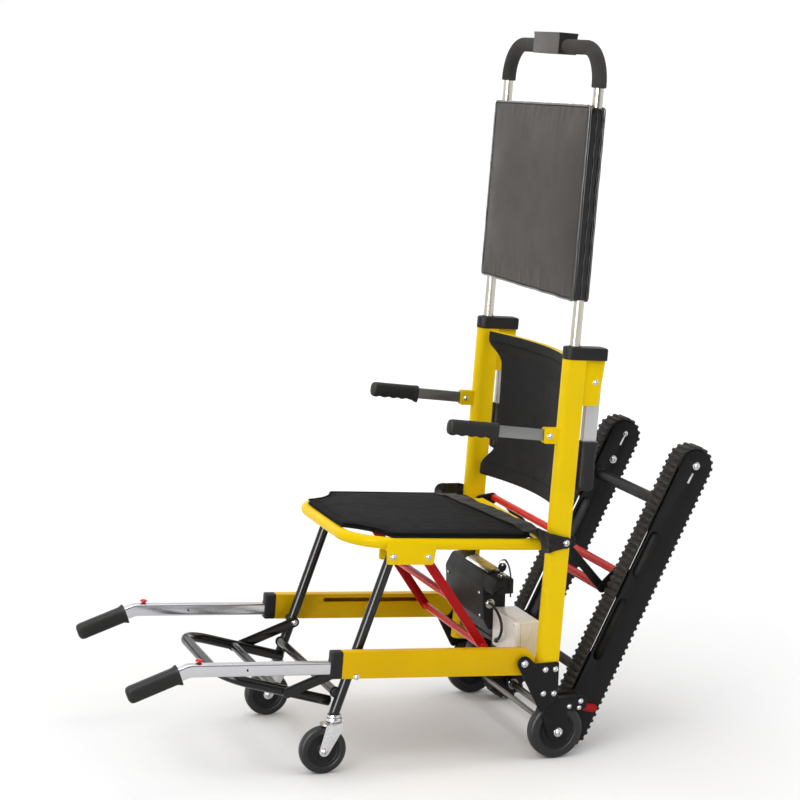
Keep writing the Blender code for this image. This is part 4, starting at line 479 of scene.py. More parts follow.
def addPlate(shape, outline, x0, x1, edge=0.0008, holes=()):
    # a flat outline (y, z), rounded at its rims and pierced by holes, from x0 to x1
    curve = bpy.data.curves.new("plate", "CURVE")
    curve.dimensions, curve.fill_mode = "2D", "BOTH"
    curve.extrude = abs(x1 - x0) / 2 - edge
    curve.bevel_depth, curve.offset, curve.bevel_resolution = edge, -edge, 1
    for ring in (outline, *holes):
        line = curve.splines.new("POLY")
        line.points.add(len(ring) - 1)
        line.use_cyclic_u = True
        for point, (u, v) in zip(line.points, ring):
            point.co = (u, v, 0.0, 1.0)
    holder = linked("plate", curve)
    mesh = evaluated(holder)
    bpy.data.objects.remove(holder)
    bpy.data.curves.remove(curve)
    flat = bmesh.new()
    flat.from_mesh(mesh)
    bmesh.ops.remove_doubles(flat, verts=flat.verts, dist=2e-6)
    middle = (x0 + x1) / 2
    for vert in flat.verts:
        u, v, w = vert.co
        vert.co = (middle + w, u, v)
    bmesh.ops.recalc_face_normals(flat, faces=flat.faces)
    pour(flat, shape)
    bpy.data.meshes.remove(mesh)


def pour(source, shape):
    carrier = bpy.data.meshes.new("carrier")
    source.to_mesh(carrier)
    source.free()
    shape.from_mesh(carrier)
    bpy.data.meshes.remove(carrier)


def rounded(shape, edges, edge, steps=2):
    bmesh.ops.bevel(shape, geom=edges, offset=edge, segments=steps, affect="EDGES", profile=0.5,
                    clamp_overlap=True)


def addBlock(shape, x, y, z, edge=0.0015, steps=2):
    # a box with rounded edges; each span may be given from either end
    block = bmesh.new()
    bmesh.ops.create_cube(block, size=1.0)
    spans = [sorted(span) for span in (x, y, z)]
    for vert in block.verts:
        vert.co = [(a + b) / 2 + (b - a) * c for (a, b), c in zip(spans, vert.co)]
    rounded(block, block.edges[:], edge, steps)
    pour(block, shape)


def mirror(shape):
    for vert in shape.verts:
        vert.co.x = -vert.co.x
    bmesh.ops.reverse_faces(shape, faces=shape.faces)


def partShape(name, shape):
    mesh = bpy.data.meshes.new(name)
    shape.to_mesh(mesh)
    shape.free()
    return linked(name, mesh)


def shaded(mesh, angle=38):
    mesh.shade_smooth()
    mesh.set_sharp_from_angle(angle=math.radians(angle))


def makePiece(name, shape, place, finish, body=None, nodes=(), angle=38):
    if place is not None:
        shape.transform(place)
    piece = partShape(name, shape)
    piece.data.materials.append(finishes[finish])
    shaded(piece.data, angle)
    if body:
        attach(piece, body)
    if nodes:
        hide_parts(*nodes)
    return piece


def joined(name, pieces, finish, body, nodes=()):
    shape = bmesh.new()
    for piece in pieces:
        shape.from_mesh(piece.data)
        bpy.data.objects.remove(piece)
    for face in shape.faces:
        face.material_index = 0
    return makePiece(name, shape, None, finish, body, nodes)


def paintFaces(piece, finish, chosen):
    # a second finish on the faces picked by their direction
    piece.data.materials.append(finishes[finish])
    for face in piece.data.polygons:
        if chosen(face.normal):
            face.material_index = 1


# node trees for what repeats
def newTree(name, sizes):
    tree = bpy.data.node_groups.new(name, "GeometryNodeTree")
    tree.interface.new_socket("Geometry", in_out="INPUT", socket_type="NodeSocketGeometry")
    tree.interface.new_socket("Geometry", in_out="OUTPUT", socket_type="NodeSocketGeometry")
    keys = {}
    for label, kind in sizes.items():
        keys[label] = tree.interface.new_socket(label, in_out="INPUT", socket_type=kind).identifier
    return tree, tree.nodes.new("NodeGroupInput").outputs, keys


def endTree(tree, source, finish):
    real = addNode(tree, "GeometryNodeRealizeInstances", {0: source})
    paint = addNode(tree, "GeometryNodeSetMaterial", {0: real.outputs[0], "Material": finishes[finish]})
    addNode(tree, "NodeGroupOutput", {0: paint.outputs[0]})


def facing(tree, first, second=None):
    # turn an instance so that its Z lies along first, and its Y along second
    kind = "FunctionNodeAlignRotationToVector"
    turn = addNode(tree, kind, {"Vector": first}, axis="Z").outputs[0]
    if second is None:
        return turn
    return addNode(tree, kind, {"Rotation": turn, "Vector": second}, axis="Y", pivot_axis="Z").outputs[0]


def setTree(part, finish):
    # one part at each point, turned to the point's own direction and scaled by its own size
    tree, given, keys = newTree("set_" + part.name, {"Part Size": "NodeSocketFloat"})
    points = addNode(tree, "GeometryNodeMeshToPoints", {0: given["Geometry"]})
    info = addNode(tree, "GeometryNodeObjectInfo", {"Object": part})
    way = addNode(tree, "GeometryNodeInputNamedAttribute", {"Name": "way"}, data_type="FLOAT_VECTOR")
    size = addNode(tree, "GeometryNodeInputNamedAttribute", {"Name": "size"}, data_type="FLOAT")
    place = addNode(tree, "GeometryNodeInstanceOnPoints", {
        "Points": points.outputs[0],
        "Instance": info.outputs["Geometry"],
        "Rotation": facing(tree, way.outputs[0]),
        "Scale": maths(tree, "MULTIPLY", size.outputs[0], given["Part Size"])})
    endTree(tree, place.outputs[0], finish)
    return tree, keys


def rowTree(part, finish, outward):
    # parts spaced along a line; outward is "loop" for a belt across X, "along" the line, or a direction
    kinds = {"Count": "NodeSocketInt", "Part Size": "NodeSocketFloat"}
    tree, given, keys = newTree("row_" + part.name, kinds)
    line = addNode(tree, "GeometryNodeMeshToCurve", {0: given["Geometry"]})
    sockets = {"Curve": line.outputs[0], "Count": given["Count"]}
    spread = addNode(tree, "GeometryNodeCurveToPoints", sockets, mode="COUNT").outputs
    info = addNode(tree, "GeometryNodeObjectInfo", {"Object": part})
    ahead = spread["Tangent"]
    if outward == "loop":
        turn = facing(tree, vectorMaths(tree, "CROSS_PRODUCT", ahead, (1.0, 0.0, 0.0))[0], ahead)
    elif outward == "along":
        turn = facing(tree, ahead)
    else:
        turn = facing(tree, addNode(tree, "FunctionNodeInputVector", vector=outward).outputs[0], ahead)
    place = addNode(tree, "GeometryNodeInstanceOnPoints", {
        "Points": spread["Points"],
        "Instance": info.outputs["Geometry"],
        "Rotation": turn,
        "Scale": given["Part Size"]})
    endTree(tree, place.outputs[0], finish)
    return tree, keys


def grow(name, verts, edges, tree, keys, values, extra=None):
    # run a tree on points or a line and keep the result as a plain piece
    mesh = bpy.data.meshes.new(name)
    mesh.from_pydata([tuple(v) for v in verts], edges, [])
    for label, kind, data in extra or ():
        layer = mesh.attributes.new(label, kind, "POINT")
        layer.data.foreach_set("vector" if kind == "FLOAT_VECTOR" else "value", data)
    piece = linked(name, mesh)
    step = piece.modifiers.new("rows", "NODES")
    step.node_group = tree
    for label, value in values.items():
        step[keys[label]] = value
    result = evaluated(piece)
    piece.modifiers.clear()
    piece.data = result
    result.name = name
    bpy.data.meshes.remove(mesh)
    shaded(result)
    return piece


def boltPart():
    # a domed head on a washer, with a six-sided socket, one unit across its radius
    shape = bmesh.new()
    rings = []
    for radius, height in ((1.25, 0.0), (1.25, 0.16), (1.16, 0.22), (1.0, 0.24), (0.97, 0.5),
                           (0.86, 0.72), (0.66, 0.86), (0.5, 0.9)):
        rings.append([Vector((u, v, height)) for u, v in circlePoints(radius, 18)])
    for radius, height in ((0.46, 0.88), (0.44, 0.5)):
        hexed = []
        for k in range(18):
            angle = 2 * math.pi * k / 18
            flat = math.cos(math.pi / 6) / math.cos((angle + math.pi / 6) % (math.pi / 3) - math.pi / 6)
            hexed.append(Vector((radius * flat * math.cos(angle), radius * flat * math.sin(angle), height)))
        rings.append(hexed)
    addRings(shape, rings)
    return partShape("boltHead", shape)


bolts = {}


def bolt(body, place, way, size):
    bolts.setdefault(body, []).append((Vector(place), Vector(way), size))


def boltPair(body, x, y, z, size, inward=False):
    for _, sign in sides:
        bolt(body, (sign * x, y, z), (-sign if inward else sign, 0, 0), size)


# cloth under air pressure, held at its seams
def puff(shape, s, held):
    raw = partShape("rawPad", shape)
    step = raw.modifiers.new("even", "REMESH")
    step.mode, step.voxel_size = "VOXEL", s["voxel"]
    mesh = evaluated(raw)
    bpy.data.objects.remove(raw)
    pad = linked("pad", mesh)
    rest = [v.co.copy() for v in mesh.vertices]
    group = pad.vertex_groups.new(name="held")
    group.add([i for i, p in enumerate(rest) if held(p)], 1.0, "REPLACE")
    cloth = pad.modifiers.new("cloth", "CLOTH")
    cloth.settings.quality = 5
    cloth.settings.mass = 0.3
    cloth.settings.tension_stiffness = cloth.settings.compression_stiffness = 15.0
    cloth.settings.bending_stiffness = s.get("bending", 0.6)
    cloth.settings.use_pressure = True
    cloth.settings.uniform_pressure_force = s["pressure"]
    cloth.settings.effector_weights.gravity = 0.0
    cloth.settings.vertex_group_mass = "held"
    cloth.collision_settings.use_collision = False
    moments = 20
    cloth.point_cache.frame_start, cloth.point_cache.frame_end = 1, moments
    for moment in range(1, moments + 1):
        bpy.context.scene.frame_set(moment)
    graph = bpy.context.evaluated_depsgraph_get()
    swollen = [v.co.copy() for v in pad.evaluated_get(graph).data.vertices]
    pad.modifiers.clear()
    bpy.context.scene.frame_set(1)
    for vert, was, now in zip(mesh.vertices, rest, swollen):
        move = now - was
        vert.co = was + (move if move.length < s["cap"] else move.normalized() * s["cap"])
    result = bmesh.new()
    result.from_mesh(mesh)
    bpy.data.objects.remove(pad)
    bpy.data.meshes.remove(mesh)
    return result


def finer(piece):
    step = piece.modifiers.new("finer", "SUBSURF")
    step.levels = step.render_levels = 1


# the scene's floor and light
stageSet = {"floor": 250.0, "floorTone": 0.9, "lift": 0.27, "world": 0.94, "behind": 0.14, "softBox": 16.0}
# place, size and power
lamps = {"keyLamp": ((2.6, -3.0, 3.4), 2.6, 52.0), "fillLamp": ((-3.2, -1.6, 2.6), 3.0, 14.0),
         "rimLamp": ((1.4, 3.2, 3.2), 2.4, 16.0), "topLamp": ((0.2, -0.1, 4.4), 1.8, 30.0)}
white = (1.0, 1.0, 1.0, 1.0)


def seenRays(tree, *kinds):
    # 1 for the camera's own rays and the kinds named, 0 for the light that falls on the part
    rays = addNode(tree, "ShaderNodeLightPath").outputs
    seen = rays["Is Camera Ray"]
    for kind in kinds:
        seen = maths(tree, "MAXIMUM", seen, rays[kind])
    return seen


def makeFloor(s):
    shape = bmesh.new()
    bmesh.ops.create_grid(shape, x_segments=1, y_segments=1, size=s["floor"])
    floor = partShape("floor", shape)
    floor.location.z = -0.0004
    paint, tree, shader, place = newFinish("paleFloor")
    colour = tone(white[:3], s["floorTone"])
    setShader(tree, shader, {"Base Color": colour, "Roughness": 0.9, "Specular IOR Level": 0.1})
    # far from the lamps the floor gives some light of its own, so that it stays as white as the room
    lift = ramped(tree, vectorMaths(tree, "LENGTH", place)["Value"], 0.0, s["lift"], 0.8, 4.5)
    strength = maths(tree, "MULTIPLY", seenRays(tree, "Is Glossy Ray"), lift)
    glow = addNode(tree, "ShaderNodeEmission", {"Color": white, "Strength": strength})
    both = addNode(tree, "ShaderNodeAddShader", {0: shader.outputs[0], 1: glow.outputs[0]})
    plug(tree, tree.nodes["Material Output"].inputs["Surface"], both.outputs[0])
    floor.data.materials.append(paint)


def makeRoom(s):
    world = bpy.data.worlds.new("studio")
    bpy.context.scene.world = world
    world.use_nodes = True
    tree = world.node_tree
    way = addNode(tree, "ShaderNodeTexCoord").outputs["Generated"]
    rays = addNode(tree, "ShaderNodeLightPath").outputs
    level = ramped(tree, seenRays(tree, "Is Glossy Ray", "Is Transmission Ray"), s["world"], 1.0, 0.0, 1.0)
    # the room is darker behind the camera, so that polished tubes show a dark band
    turn = math.radians(cameraSet["azimuth"])
    toward = vectorMaths(tree, "DOT_PRODUCT", way, (math.sin(turn), -math.cos(turn), 0.1))["Value"]
    dim = ramped(tree, toward, 1.0, s["behind"], 0.5, 0.88, interpolation_type="SMOOTHSTEP")
    shade = maths(tree, "MAXIMUM", dim, rays["Is Camera Ray"])
    # polished pieces also mirror a tall bright box beside the key lamp
    flat = vectorMaths(tree, "MULTIPLY", way, (1.0, 1.0, 0.0))["Vector"]
    flat = vectorMaths(tree, "NORMALIZE", flat)["Vector"]
    keyWay = Vector((*lamps["keyLamp"][0][:2], 0.0)).normalized()
    beside = vectorMaths(tree, "DOT_PRODUCT", flat, keyWay)["Value"]
    box = ramped(tree, beside, 0.0, s["softBox"], 0.966, 0.976)
    strength = maths(tree, "MULTIPLY_ADD", box, rays["Is Glossy Ray"],
                     maths(tree, "MULTIPLY", level, shade))
    setShader(tree, tree.nodes["Background"], {"Color": white, "Strength": strength})


def makeLamps():
    for name, (place, size, power) in lamps.items():
        data = bpy.data.lights.new(name, "AREA")
        data.size, data.energy = size, power
        lamp = linked(name, data)
        lamp.location = place
        lamp.rotation_euler = (Vector((0, 0, 0.6)) - Vector(place)).to_track_quat("-Z", "Y").to_euler()


makeFloor(stageSet)
makeRoom(stageSet)
makeLamps()
bpy.context.scene.view_settings.view_transform = "Standard"
print("stage set")


# the lead between the drive housing and the battery
lead = {"radius": 0.003, "start": (0.0643, -0.083, 0.296), "stop": (0.093, -0.0813, 0.221), "steps": 28}


def leadPath(s):
    start, stop = Vector(s["start"]), Vector(s["stop"])
    first, second = start + Vector((0.105, -0.010, 0.002)), stop + Vector((0.085, -0.014, 0.030))
    path = []
    for k in range(s["steps"] + 1):
        t = k / s["steps"]
        early = start * (1 - t) ** 3 + first * (3 * t * (1 - t) ** 2)
        path.append(chairAt @ (early + second * (3 * t * t * (1 - t)) + stop * t ** 3))
    return path


def makeLead(s):
    path = leadPath(s)
    shape = bmesh.new()
    addTube(shape, path, s["radius"], Vector((0.3, 0.2, 1.0)), 14, 0.0004)
    piece = makePiece("batteryLead", shape, None, "grip", "back_frame", ("battery_lead",))


makeLead(lead)


# yellow back posts with their brackets
post = {"half": 0.24, "width": 0.035, "depth": 0.047, "length": 0.726, "nose": 0.0165, "heel": 0.005}
armBracket = {"height": 0.564, "pivot": -0.0415, "front": -0.0545, "tall": 0.033, "inner": 0.0054,
              "outer": 0.0084}
carryBracket = {"height": 0.680, "pivot": 0.050, "rear": 0.068, "low": 0.630, "inner": 0.0084,
                "outer": 0.0114}


def makePosts(s, arm, carry):
    w, d = s["width"] / 2, s["depth"] / 2
    section = roundCorners([(w, d, s["heel"]), (-w, d, s["heel"]), (-w, -d, s["nose"]),
                            (w, -d, s["nose"])], 8)
    for name, sign in sides:
        shape = bmesh.new()
        rings = []
        for z, inset in ((0.0, 0.94), (0.0012, 1.0), (s["length"], 1.0)):
            rings.append([Vector((s["half"] + u * inset, v * inset, z)) for u, v in section])
        addRings(shape, rings)
        ear = roundedBox(-d + 0.010 - arm["front"], arm["tall"], 0.004, 5, (arm["front"] - d + 0.010) / 2,
                         arm["height"])
        for hand in (1, -1):
            addPlate(shape, ear, s["half"] + hand * arm["inner"], s["half"] + hand * arm["outer"], 0.0009)
        reach, rise = arm["outer"] - 0.0007, arm["tall"] / 2 - 0.0006
        across, tall = (s["half"] - reach, s["half"] + reach), (arm["height"] - rise, arm["height"] + rise)
        addBlock(shape, across, (-d - 0.003, -d + 0.009), tall, 0.001)
        ear = roundCorners([(d - 0.002, carry["low"], 0), (carry["rear"] - 0.008, carry["low"], 0.006),
                            (carry["rear"], s["length"], 0.003), (d - 0.002, s["length"], 0)])
        for hand in (1, -1):
            addPlate(shape, ear, s["half"] + hand * carry["inner"], s["half"] + hand * carry["outer"],
                     0.0009)
        tab = hullOutline([(0.0134, 0.3234, 0.0175), (d + 0.017, 0.3334, 0.013)])
        ring = [(0.0134 + u, 0.3234 + v) for u, v in circlePoints(0.0116, 32)]
        lug = bmesh.new()
        addPlate(lug, tab, s["half"] - w - 0.005, s["half"] - w + 0.001, 0.0009, [ring])
        if sign < 0:
            mirror(shape)
            mirror(lug)
        makePiece(name + "StayLug", lug, backAt, "blackCoat", "back_frame")
        makePiece(name + "Post", shape, backAt, "yellow", "back_frame", (name + "_post",))
    for bracket in (arm, carry):
        at = backAt @ Vector((0, bracket["pivot"], bracket["height"]))
        boltPair("back_frame", s["half"] + bracket["outer"], at.y, at.z, 0.0052)
        boltPair("back_frame", s["half"] - bracket["outer"], at.y, at.z, 0.0048, True)


makePosts(post, armBracket, carryBracket)

postCap = {"low": 0.7263, "tall": 0.026, "front": -0.0245, "rear": 0.070, "width": 0.0376, "nose": 0.0170,
           "heel": 0.005}


def makePostCaps(s):
    for name, sign in sides:
        shape = bmesh.new()
        x = sign * post["half"]
        rings = []
        for inset, z in ((0.0008, 0.0), (0.0, 0.0008), (0.0, s["tall"] - 0.0035),
                         (0.0006, s["tall"] - 0.0018), (0.0016, s["tall"] - 0.0006), (0.003, s["tall"])):
            w, front, rear = s["width"] / 2 - inset, s["front"] + inset, s["rear"] - inset
            heel, nose = s["heel"], s["nose"] - inset
            outline = roundCorners([(w, rear, heel), (-w, rear, heel), (-w, front, nose),
                                    (w, front, nose)], 9)
            rings.append([Vector((x + u, v, s["low"] + z)) for u, v in outline])
        addRings(shape, rings)
        top = s["low"] + s["tall"]
        collar = ((0.0137, -0.001), (0.0137, 0.0008), (0.0131, 0.0016), (0.0119, 0.0018), (0.0114, 0.0008))
        addTurned(shape, collar, (x, 0, top))
        makePiece(name + "PostCap", shape, backAt, "moulded", "back_frame",
                  (name + "_post_cap",))


makePostCaps(postCap)


# telescopic handle, foam sleeve, control box and rocker
handle = {"tube": 0.011, "low": 0.576, "top": 1.367, "corner": 0.075, "foam": 0.0155, "foamLow": 1.286}


def hoop(half, foot, head, corner, steps):
    # up one side, across and down the other
    points = ((-half, foot, 0), (-half, head, corner), (half, head, corner), (half, foot, 0))
    return bentPath([(Vector((x, *place)), bend) for x, place, bend in points], steps)


def handlePath(low, s):
    return hoop(post["half"], (0, low), (0, s["top"]), s["corner"], 16)


def makeHandle(s):
    shape = bmesh.new()
    addTube(shape, handlePath(s["low"], s), s["tube"], yAxis, 32)
    makePiece("handleTube", shape, backAt, "steel", "push_handle", ("handle_tube",))
    shape = bmesh.new()
    addTube(shape, handlePath(s["foamLow"], s), s["foam"], yAxis, 36, 0.0015)
    makePiece("foamSleeve", shape, backAt, "foam", "push_handle", ("handle_sleeve",))


makeHandle(handle)

controlBox = {"length": 0.134, "deep": 0.044, "low": -0.0170, "high": 0.0275, "edge": 0.0022,
              "rockerLong": 0.034, "rockerTall": 0.018}


def makeControlBox(s):
    shape = bmesh.new()
    half, z, deep = s["length"] / 2, handle["top"], s["deep"] / 2
    addBlock(shape, (-half, half), (-deep, deep), (z + s["low"], z + s["high"]), s["edge"], 3)
    lid = (z + s["high"] - 0.0048, z + s["high"] + 0.0008)
    addBlock(shape, (-half - 0.0005, half + 0.0005), (-deep - 0.0004, deep + 0.0004), lid, 0.0012)
    proud = (deep - 0.001, deep + 0.0012)
    for hand in (1, -1):  # rim round the rocker
        addBlock(shape, (-0.0225, 0.0225), proud, (z + hand * 0.0112, z + hand * 0.0138), 0.0008)
        addBlock(shape, (hand * 0.0195, hand * 0.0225), proud, (z - 0.0138, z + 0.0138), 0.0008)
    piece = makePiece("controlBox", shape, backAt, "boxGrey", "push_handle",
                      ("control_box",))
    paintFaces(piece, "moulded", lambda way: abs(way.x) > 0.8 or way.y > 0.8)
    shape = bmesh.new()
    tall = s["rockerTall"] / 2
    outline = [(0.0003, 0), (0.0016, -tall), (0.005, -tall), (0.0038, 0), (0.005, tall), (0.0016, tall)]
    addPlate(shape, outline, -s["rockerLong"] / 2, s["rockerLong"] / 2, 0.0004)
    for k in (-2, -1, 1, 2):
        y = 0.0038 + 0.0012 * abs(k) / 2.3
        addCrossTube(shape, -0.011, 0.011, y, k * 0.0034, 0.0006, 10, 0.0002)
    makePiece("directionRocker", shape, rockerAt, "redPlastic", "rocker",
              ("direction_rocker",))


makeControlBox(controlBox)
print("posts and handle made")


# headrest: gusseted vinyl pad, sewn round the tubes
headrest = {"low": 0.847, "high": 1.243, "half": 0.2535, "front": -0.0215, "back": 0.0145, "round": 0.007,
            "voxel": 0.0055, "pressure": 5.0, "cap": 0.008, "welt": 0.0024, "pucker": 0.0026}


def headrestSkew(p, s):
    # the cover is pulled higher at one end and in front
    top = max(0.0, (2 * p.z - s["low"] - s["high"]) / (s["high"] - s["low"]))
    deep = (p.y - s["front"]) / (s["back"] - s["front"])
    return top ** 4 * (0.003 + 0.0055 * p.x / s["half"] - 0.004 * deep)


def makeHeadrest(s):
    middle, tall = (s["low"] + s["high"]) / 2, (s["high"] - s["low"]) / 2
    centre, deep = (s["front"] + s["back"]) / 2, (s["back"] - s["front"]) / 2
    raw = bmesh.new()
    addBlock(raw, (-s["half"], s["half"]), (s["front"], s["back"]), (s["low"], s["high"]), s["round"], 3)

    def held(p):  # the seams along the rims
        rimX, rimZ = s["half"] - abs(p.x), tall - abs(p.z - middle)
        return (abs(p.y - centre) > deep - 0.006 and min(rimX, rimZ) < 0.009) or rimZ < 0.006

    pad = puff(raw, s, held)
    for vert in pad.verts:  # puckers that run in from the sewn rims
        p = vert.co
        rim = max(0.0, tall - abs(p.z - middle))
        side = max(0.0, s["half"] - abs(p.x))
        gather = noise.noise((p.x * 55, p.z * 6, 3.1 + math.copysign(2.0, p.z - middle)))
        draw = s["pucker"] * (gather * math.exp(-rim / 0.028) * min(1.0, rim / 0.008))
        draw += 0.0018 * noise.noise((p.x * 7, p.z * 5, 8.0)) * min(1.0, rim / 0.05) * min(1.0, side / 0.05)
        crimp = math.exp(-side / 0.02) * min(1.0, side / 0.006)
        draw += 0.0014 * noise.noise((p.z * 34, p.x * 9, 1.7)) * crimp
        if side < 0.004:
            p.x += math.copysign(0.0016 * noise.noise((p.y * 60, p.z * 9, 5.0)), p.x)
        p.y += math.copysign(draw, p.y - centre)
        p.z += headrestSkew(p, s)
    cover = makePiece("headrestPad", pad, backAt, "vinyl", "push_handle", ("headrest_pad",),
                      180)
    paintFaces(cover, "gusset", lambda way: abs(way.x) > 0.5)
    finer(cover)
    shape = bmesh.new()
    rim = roundedBox(2 * s["half"] - 0.004, 2 * tall - 0.004, 0.008, 6)
    for y in (s["front"] + 0.0012, s["back"] - 0.0012):
        dense = denseLoop([Vector((u, y, middle + v)) for u, v in rim], 0.012)
        for p in dense:
            ends = 0.0011 if abs(p.z - middle) > tall - 0.01 else 0.0
            p.z += ends * noise.noise((p.x * 40, 2.0, p.z * 3)) + headrestSkew(p, s)
            p.y += 0.0008 * noise.noise((p.x * 30, 5.0, p.z * 30))
        addTube(shape, dense, s["welt"], yAxis, 10, 0.0005, True)
    for sign in (1, -1):  # vertical seam behind the tube sleeve
        for y in (-0.0045, 0.0075):
            line = []
            for k in range(33):
                x = sign * (s["half"] + 0.0012 + 0.0008 * math.sin(k * 1.7))
                line.append(Vector((x, y + 0.0006 * math.sin(k * 0.9), s["low"] + 0.006 + k * 0.012)))
            addTube(shape, line, 0.0011, xAxis, 8, 0.0004)
    makePiece("headrestWelts", shape, backAt, "welt", "push_handle")


makeHeadrest(headrest)
print("headrest made")


# backrest bar and sling
backrest = {"bar": 0.010, "height": 0.712, "offset": 0.006, "bow": 0.040, "reach": 0.2222, "low": 0.392,
            "high": 0.7212, "waist": 0.183, "headHalf": 0.2135, "across": 56, "up": 44, "thick": 0.0024}


def eased(share):
    t = min(1.0, max(0.0, share))
    return t * t * (3 - 2 * t)


def bowed(x, s):
    return s["offset"] + s["bow"] * (1 - (x / 0.2225) ** 2)


def slingPoint(i, j, s):
    v = j / s["up"]
    tab = s["headHalf"] if v > 0.5 else s["reach"] - 0.0006
    half = s["waist"] + (tab - s["waist"]) * eased((abs(2 * v - 1) - 0.56) / 0.32)
    x = half * (2 * i / s["across"] - 1)
    sag = 0.012 * math.sin(math.pi * v) * (1 - (x / s["reach"]) ** 2)
    corner = abs(x) / s["reach"] * abs(2 * v - 1)
    fold = 0.0022 * corner ** 2 * math.sin(90 * (abs(x) - 0.5 * abs(v - 0.5)))
    ripple = 0.0012 * noise.noise((x * 9, v * 5, 4.0))
    before = (s["bar"] + 0.0016) * eased((v - 0.84) / 0.1)  # the head of the sling lies in front of its bar
    y = bowed(x, s) - before + sag + (fold + ripple) * min(1.0, 6 * v, 6 * (1 - v))
    return Vector((x, y, s["low"] + (s["high"] - s["low"]) * v))


def makeBackrest(s):
    shape = bmesh.new()
    path = [Vector((x, bowed(x, s), s["height"])) for x in (s["reach"] * (k / 20 - 1) for k in range(41))]
    addTube(shape, path, s["bar"], zAxis, 26)
    makePiece("backrestBar", shape, backAt, "yellow", "back_frame", ("backrest_bar",))
    shape = bmesh.new()
    grid = [[shape.verts.new(slingPoint(i, j, s)) for i in range(s["across"] + 1)]
            for j in range(s["up"] + 1)]
    for low, high in zip(grid, grid[1:]):
        for i in range(s["across"]):
            shape.faces.new((low[i], low[i + 1], high[i + 1], high[i]))
    area = sum(f.calc_area() for f in shape.faces)
    sling = makePiece("backrestSling", shape, backAt, "sling", "back_frame",
                      ("backrest_sling",), 180)
    wall = sling.modifiers.new("cloth", "SOLIDIFY")
    wall.thickness, wall.offset = s["thick"], 0.0
    shape = bmesh.new()
    line = [slingPoint(i, 0, s) + Vector((0, 0.0036, 0.006)) for i in range(s["across"] + 1)]
    addSwept(shape, line, [(0.0085 * u, 0.0048 * v) for u, v in circlePoints(1.0, 20)], zAxis)
    line = [slingPoint(i, s["up"], s) + Vector((0, -0.0004, -0.009)) for i in range(s["across"] + 1)]
    addSwept(shape, line, roundedBox(0.018, 0.0042, 0.0018, 4), zAxis)
    for side in (0, s["across"]):  # bound side edges
        line = [slingPoint(side, j, s) for j in range(s["up"] + 1)]
        addTube(shape, line, 0.0021, yAxis, 10, 0.0005)
    hems = makePiece("slingHems", shape, backAt, "sling", "back_frame")
    rows = []
    proud = Vector((0, -s["thick"] / 2 - 0.0003, 0))
    for up in (4, s["up"] - 3):
        rows.append([backAt @ (slingPoint(i, up, s) + proud) for i in range(1, s["across"])])
    threads = stitch("slingStitches", rows, 0.006, (0.0, -1.0, 0.06), "back_frame")


def stitchPart():
    shape = bmesh.new()
    line = [Vector((0, y, 0.11 - 0.3 * y * y)) for y in (-0.42, -0.25, 0.0, 0.25, 0.42)]
    addTube(shape, line, 0.12, xAxis, 6, 0.05)
    return partShape("stitchLoop", shape)


def stitch(name, rows, pitch, up, body):
    part = stitchPart()
    tree, keys = rowTree(part, "thread", up)
    made = []
    for row in rows:
        count = int(lengthOf(row) / pitch)
        edges = [(i, i + 1) for i in range(len(row) - 1)]
        sizes = {"Count": count, "Part Size": pitch * 0.82}
        made.append(grow(name + str(len(made)), row, edges, tree, keys, sizes))
    bpy.data.objects.remove(part)
    return joined(name, made, "thread", body)


makeBackrest(backrest)
print("backrest made")


# arms and rear carry handles
def gripShape(shape, s):
    # a moulded grip along -Y, scalloped for the fingers underneath, flared at the bar's end
    rings = []
    count, facets = 44, 30
    for i in range(count + 1):
        t = i / count
        flare = eased(1 - t / s.get("flareLong", 0.12))
        nose = max(0.0, (t - 0.9) / 0.1)
        shrink = math.sqrt(max(0.0, 1 - nose * nose)) * 0.42 + 0.58
        along = min(1.0, max(0.0, (t - 0.13) / 0.78))
        wave = 0.5 - 0.5 * math.cos(2 * math.pi * s.get("fingers", 0) * along)
        top = s["tall"] / 2 * shrink + s["flareUp"] * flare
        low = s["tall"] / 2 * shrink + s["flareDown"] * flare - s.get("scallop", 0.0) * wave
        wide = s["wide"] / 2 * shrink + s["flareWide"] * flare
        ring = []
        for c, d in circlePoints(1.0, facets):
            u = math.copysign(abs(c) ** 0.62, c) * wide
            v = math.copysign(abs(d) ** 0.62, d) * (top if d > 0 else low)
            ring.append(Vector((u, -s["start"] - s["length"] * t, v)))
        rings.append(ring)
    addRings(shape, rings)


arm = {"finish": "flat", "length": 0.215, "tall": 0.0235, "wide": 0.010, "rise": -3.4,
       "grip": {"start": 0.118, "length": 0.109, "tall": 0.033, "wide": 0.026, "fingers": 4,
                "scallop": 0.0024, "flareDown": 0.005, "flareUp": 0.0006, "flareWide": 0.001}}
carry = {"finish": "flatPale", "length": 0.205, "tall": 0.030, "wide": 0.016,
         "grip": {"start": 0.127, "length": 0.105, "tall": 0.038, "wide": 0.028, "fingers": 4,
                  "scallop": 0.002, "flareDown": 0.002, "flareUp": 0.002, "flareWide": 0.001}}


def makeFlatHandle(name, place, body, s, nodes):
    shape = bmesh.new()
    t, end = s["tall"], s["length"]
    outline = hullOutline([(0, 0, t / 2), (-end + t / 4, t / 4, t / 4), (-end + t / 4, -t / 4, t / 4)])
    addPlate(shape, outline, -s["wide"] / 2, s["wide"] / 2, 0.0009)
    makePiece(name + "Bar", shape, place, s["finish"], body, (nodes + "_bar",))
    shape = bmesh.new()
    gripShape(shape, s["grip"])
    makePiece(name + "Grip", shape, place, "grip", body, (nodes + "_grip",), 60)


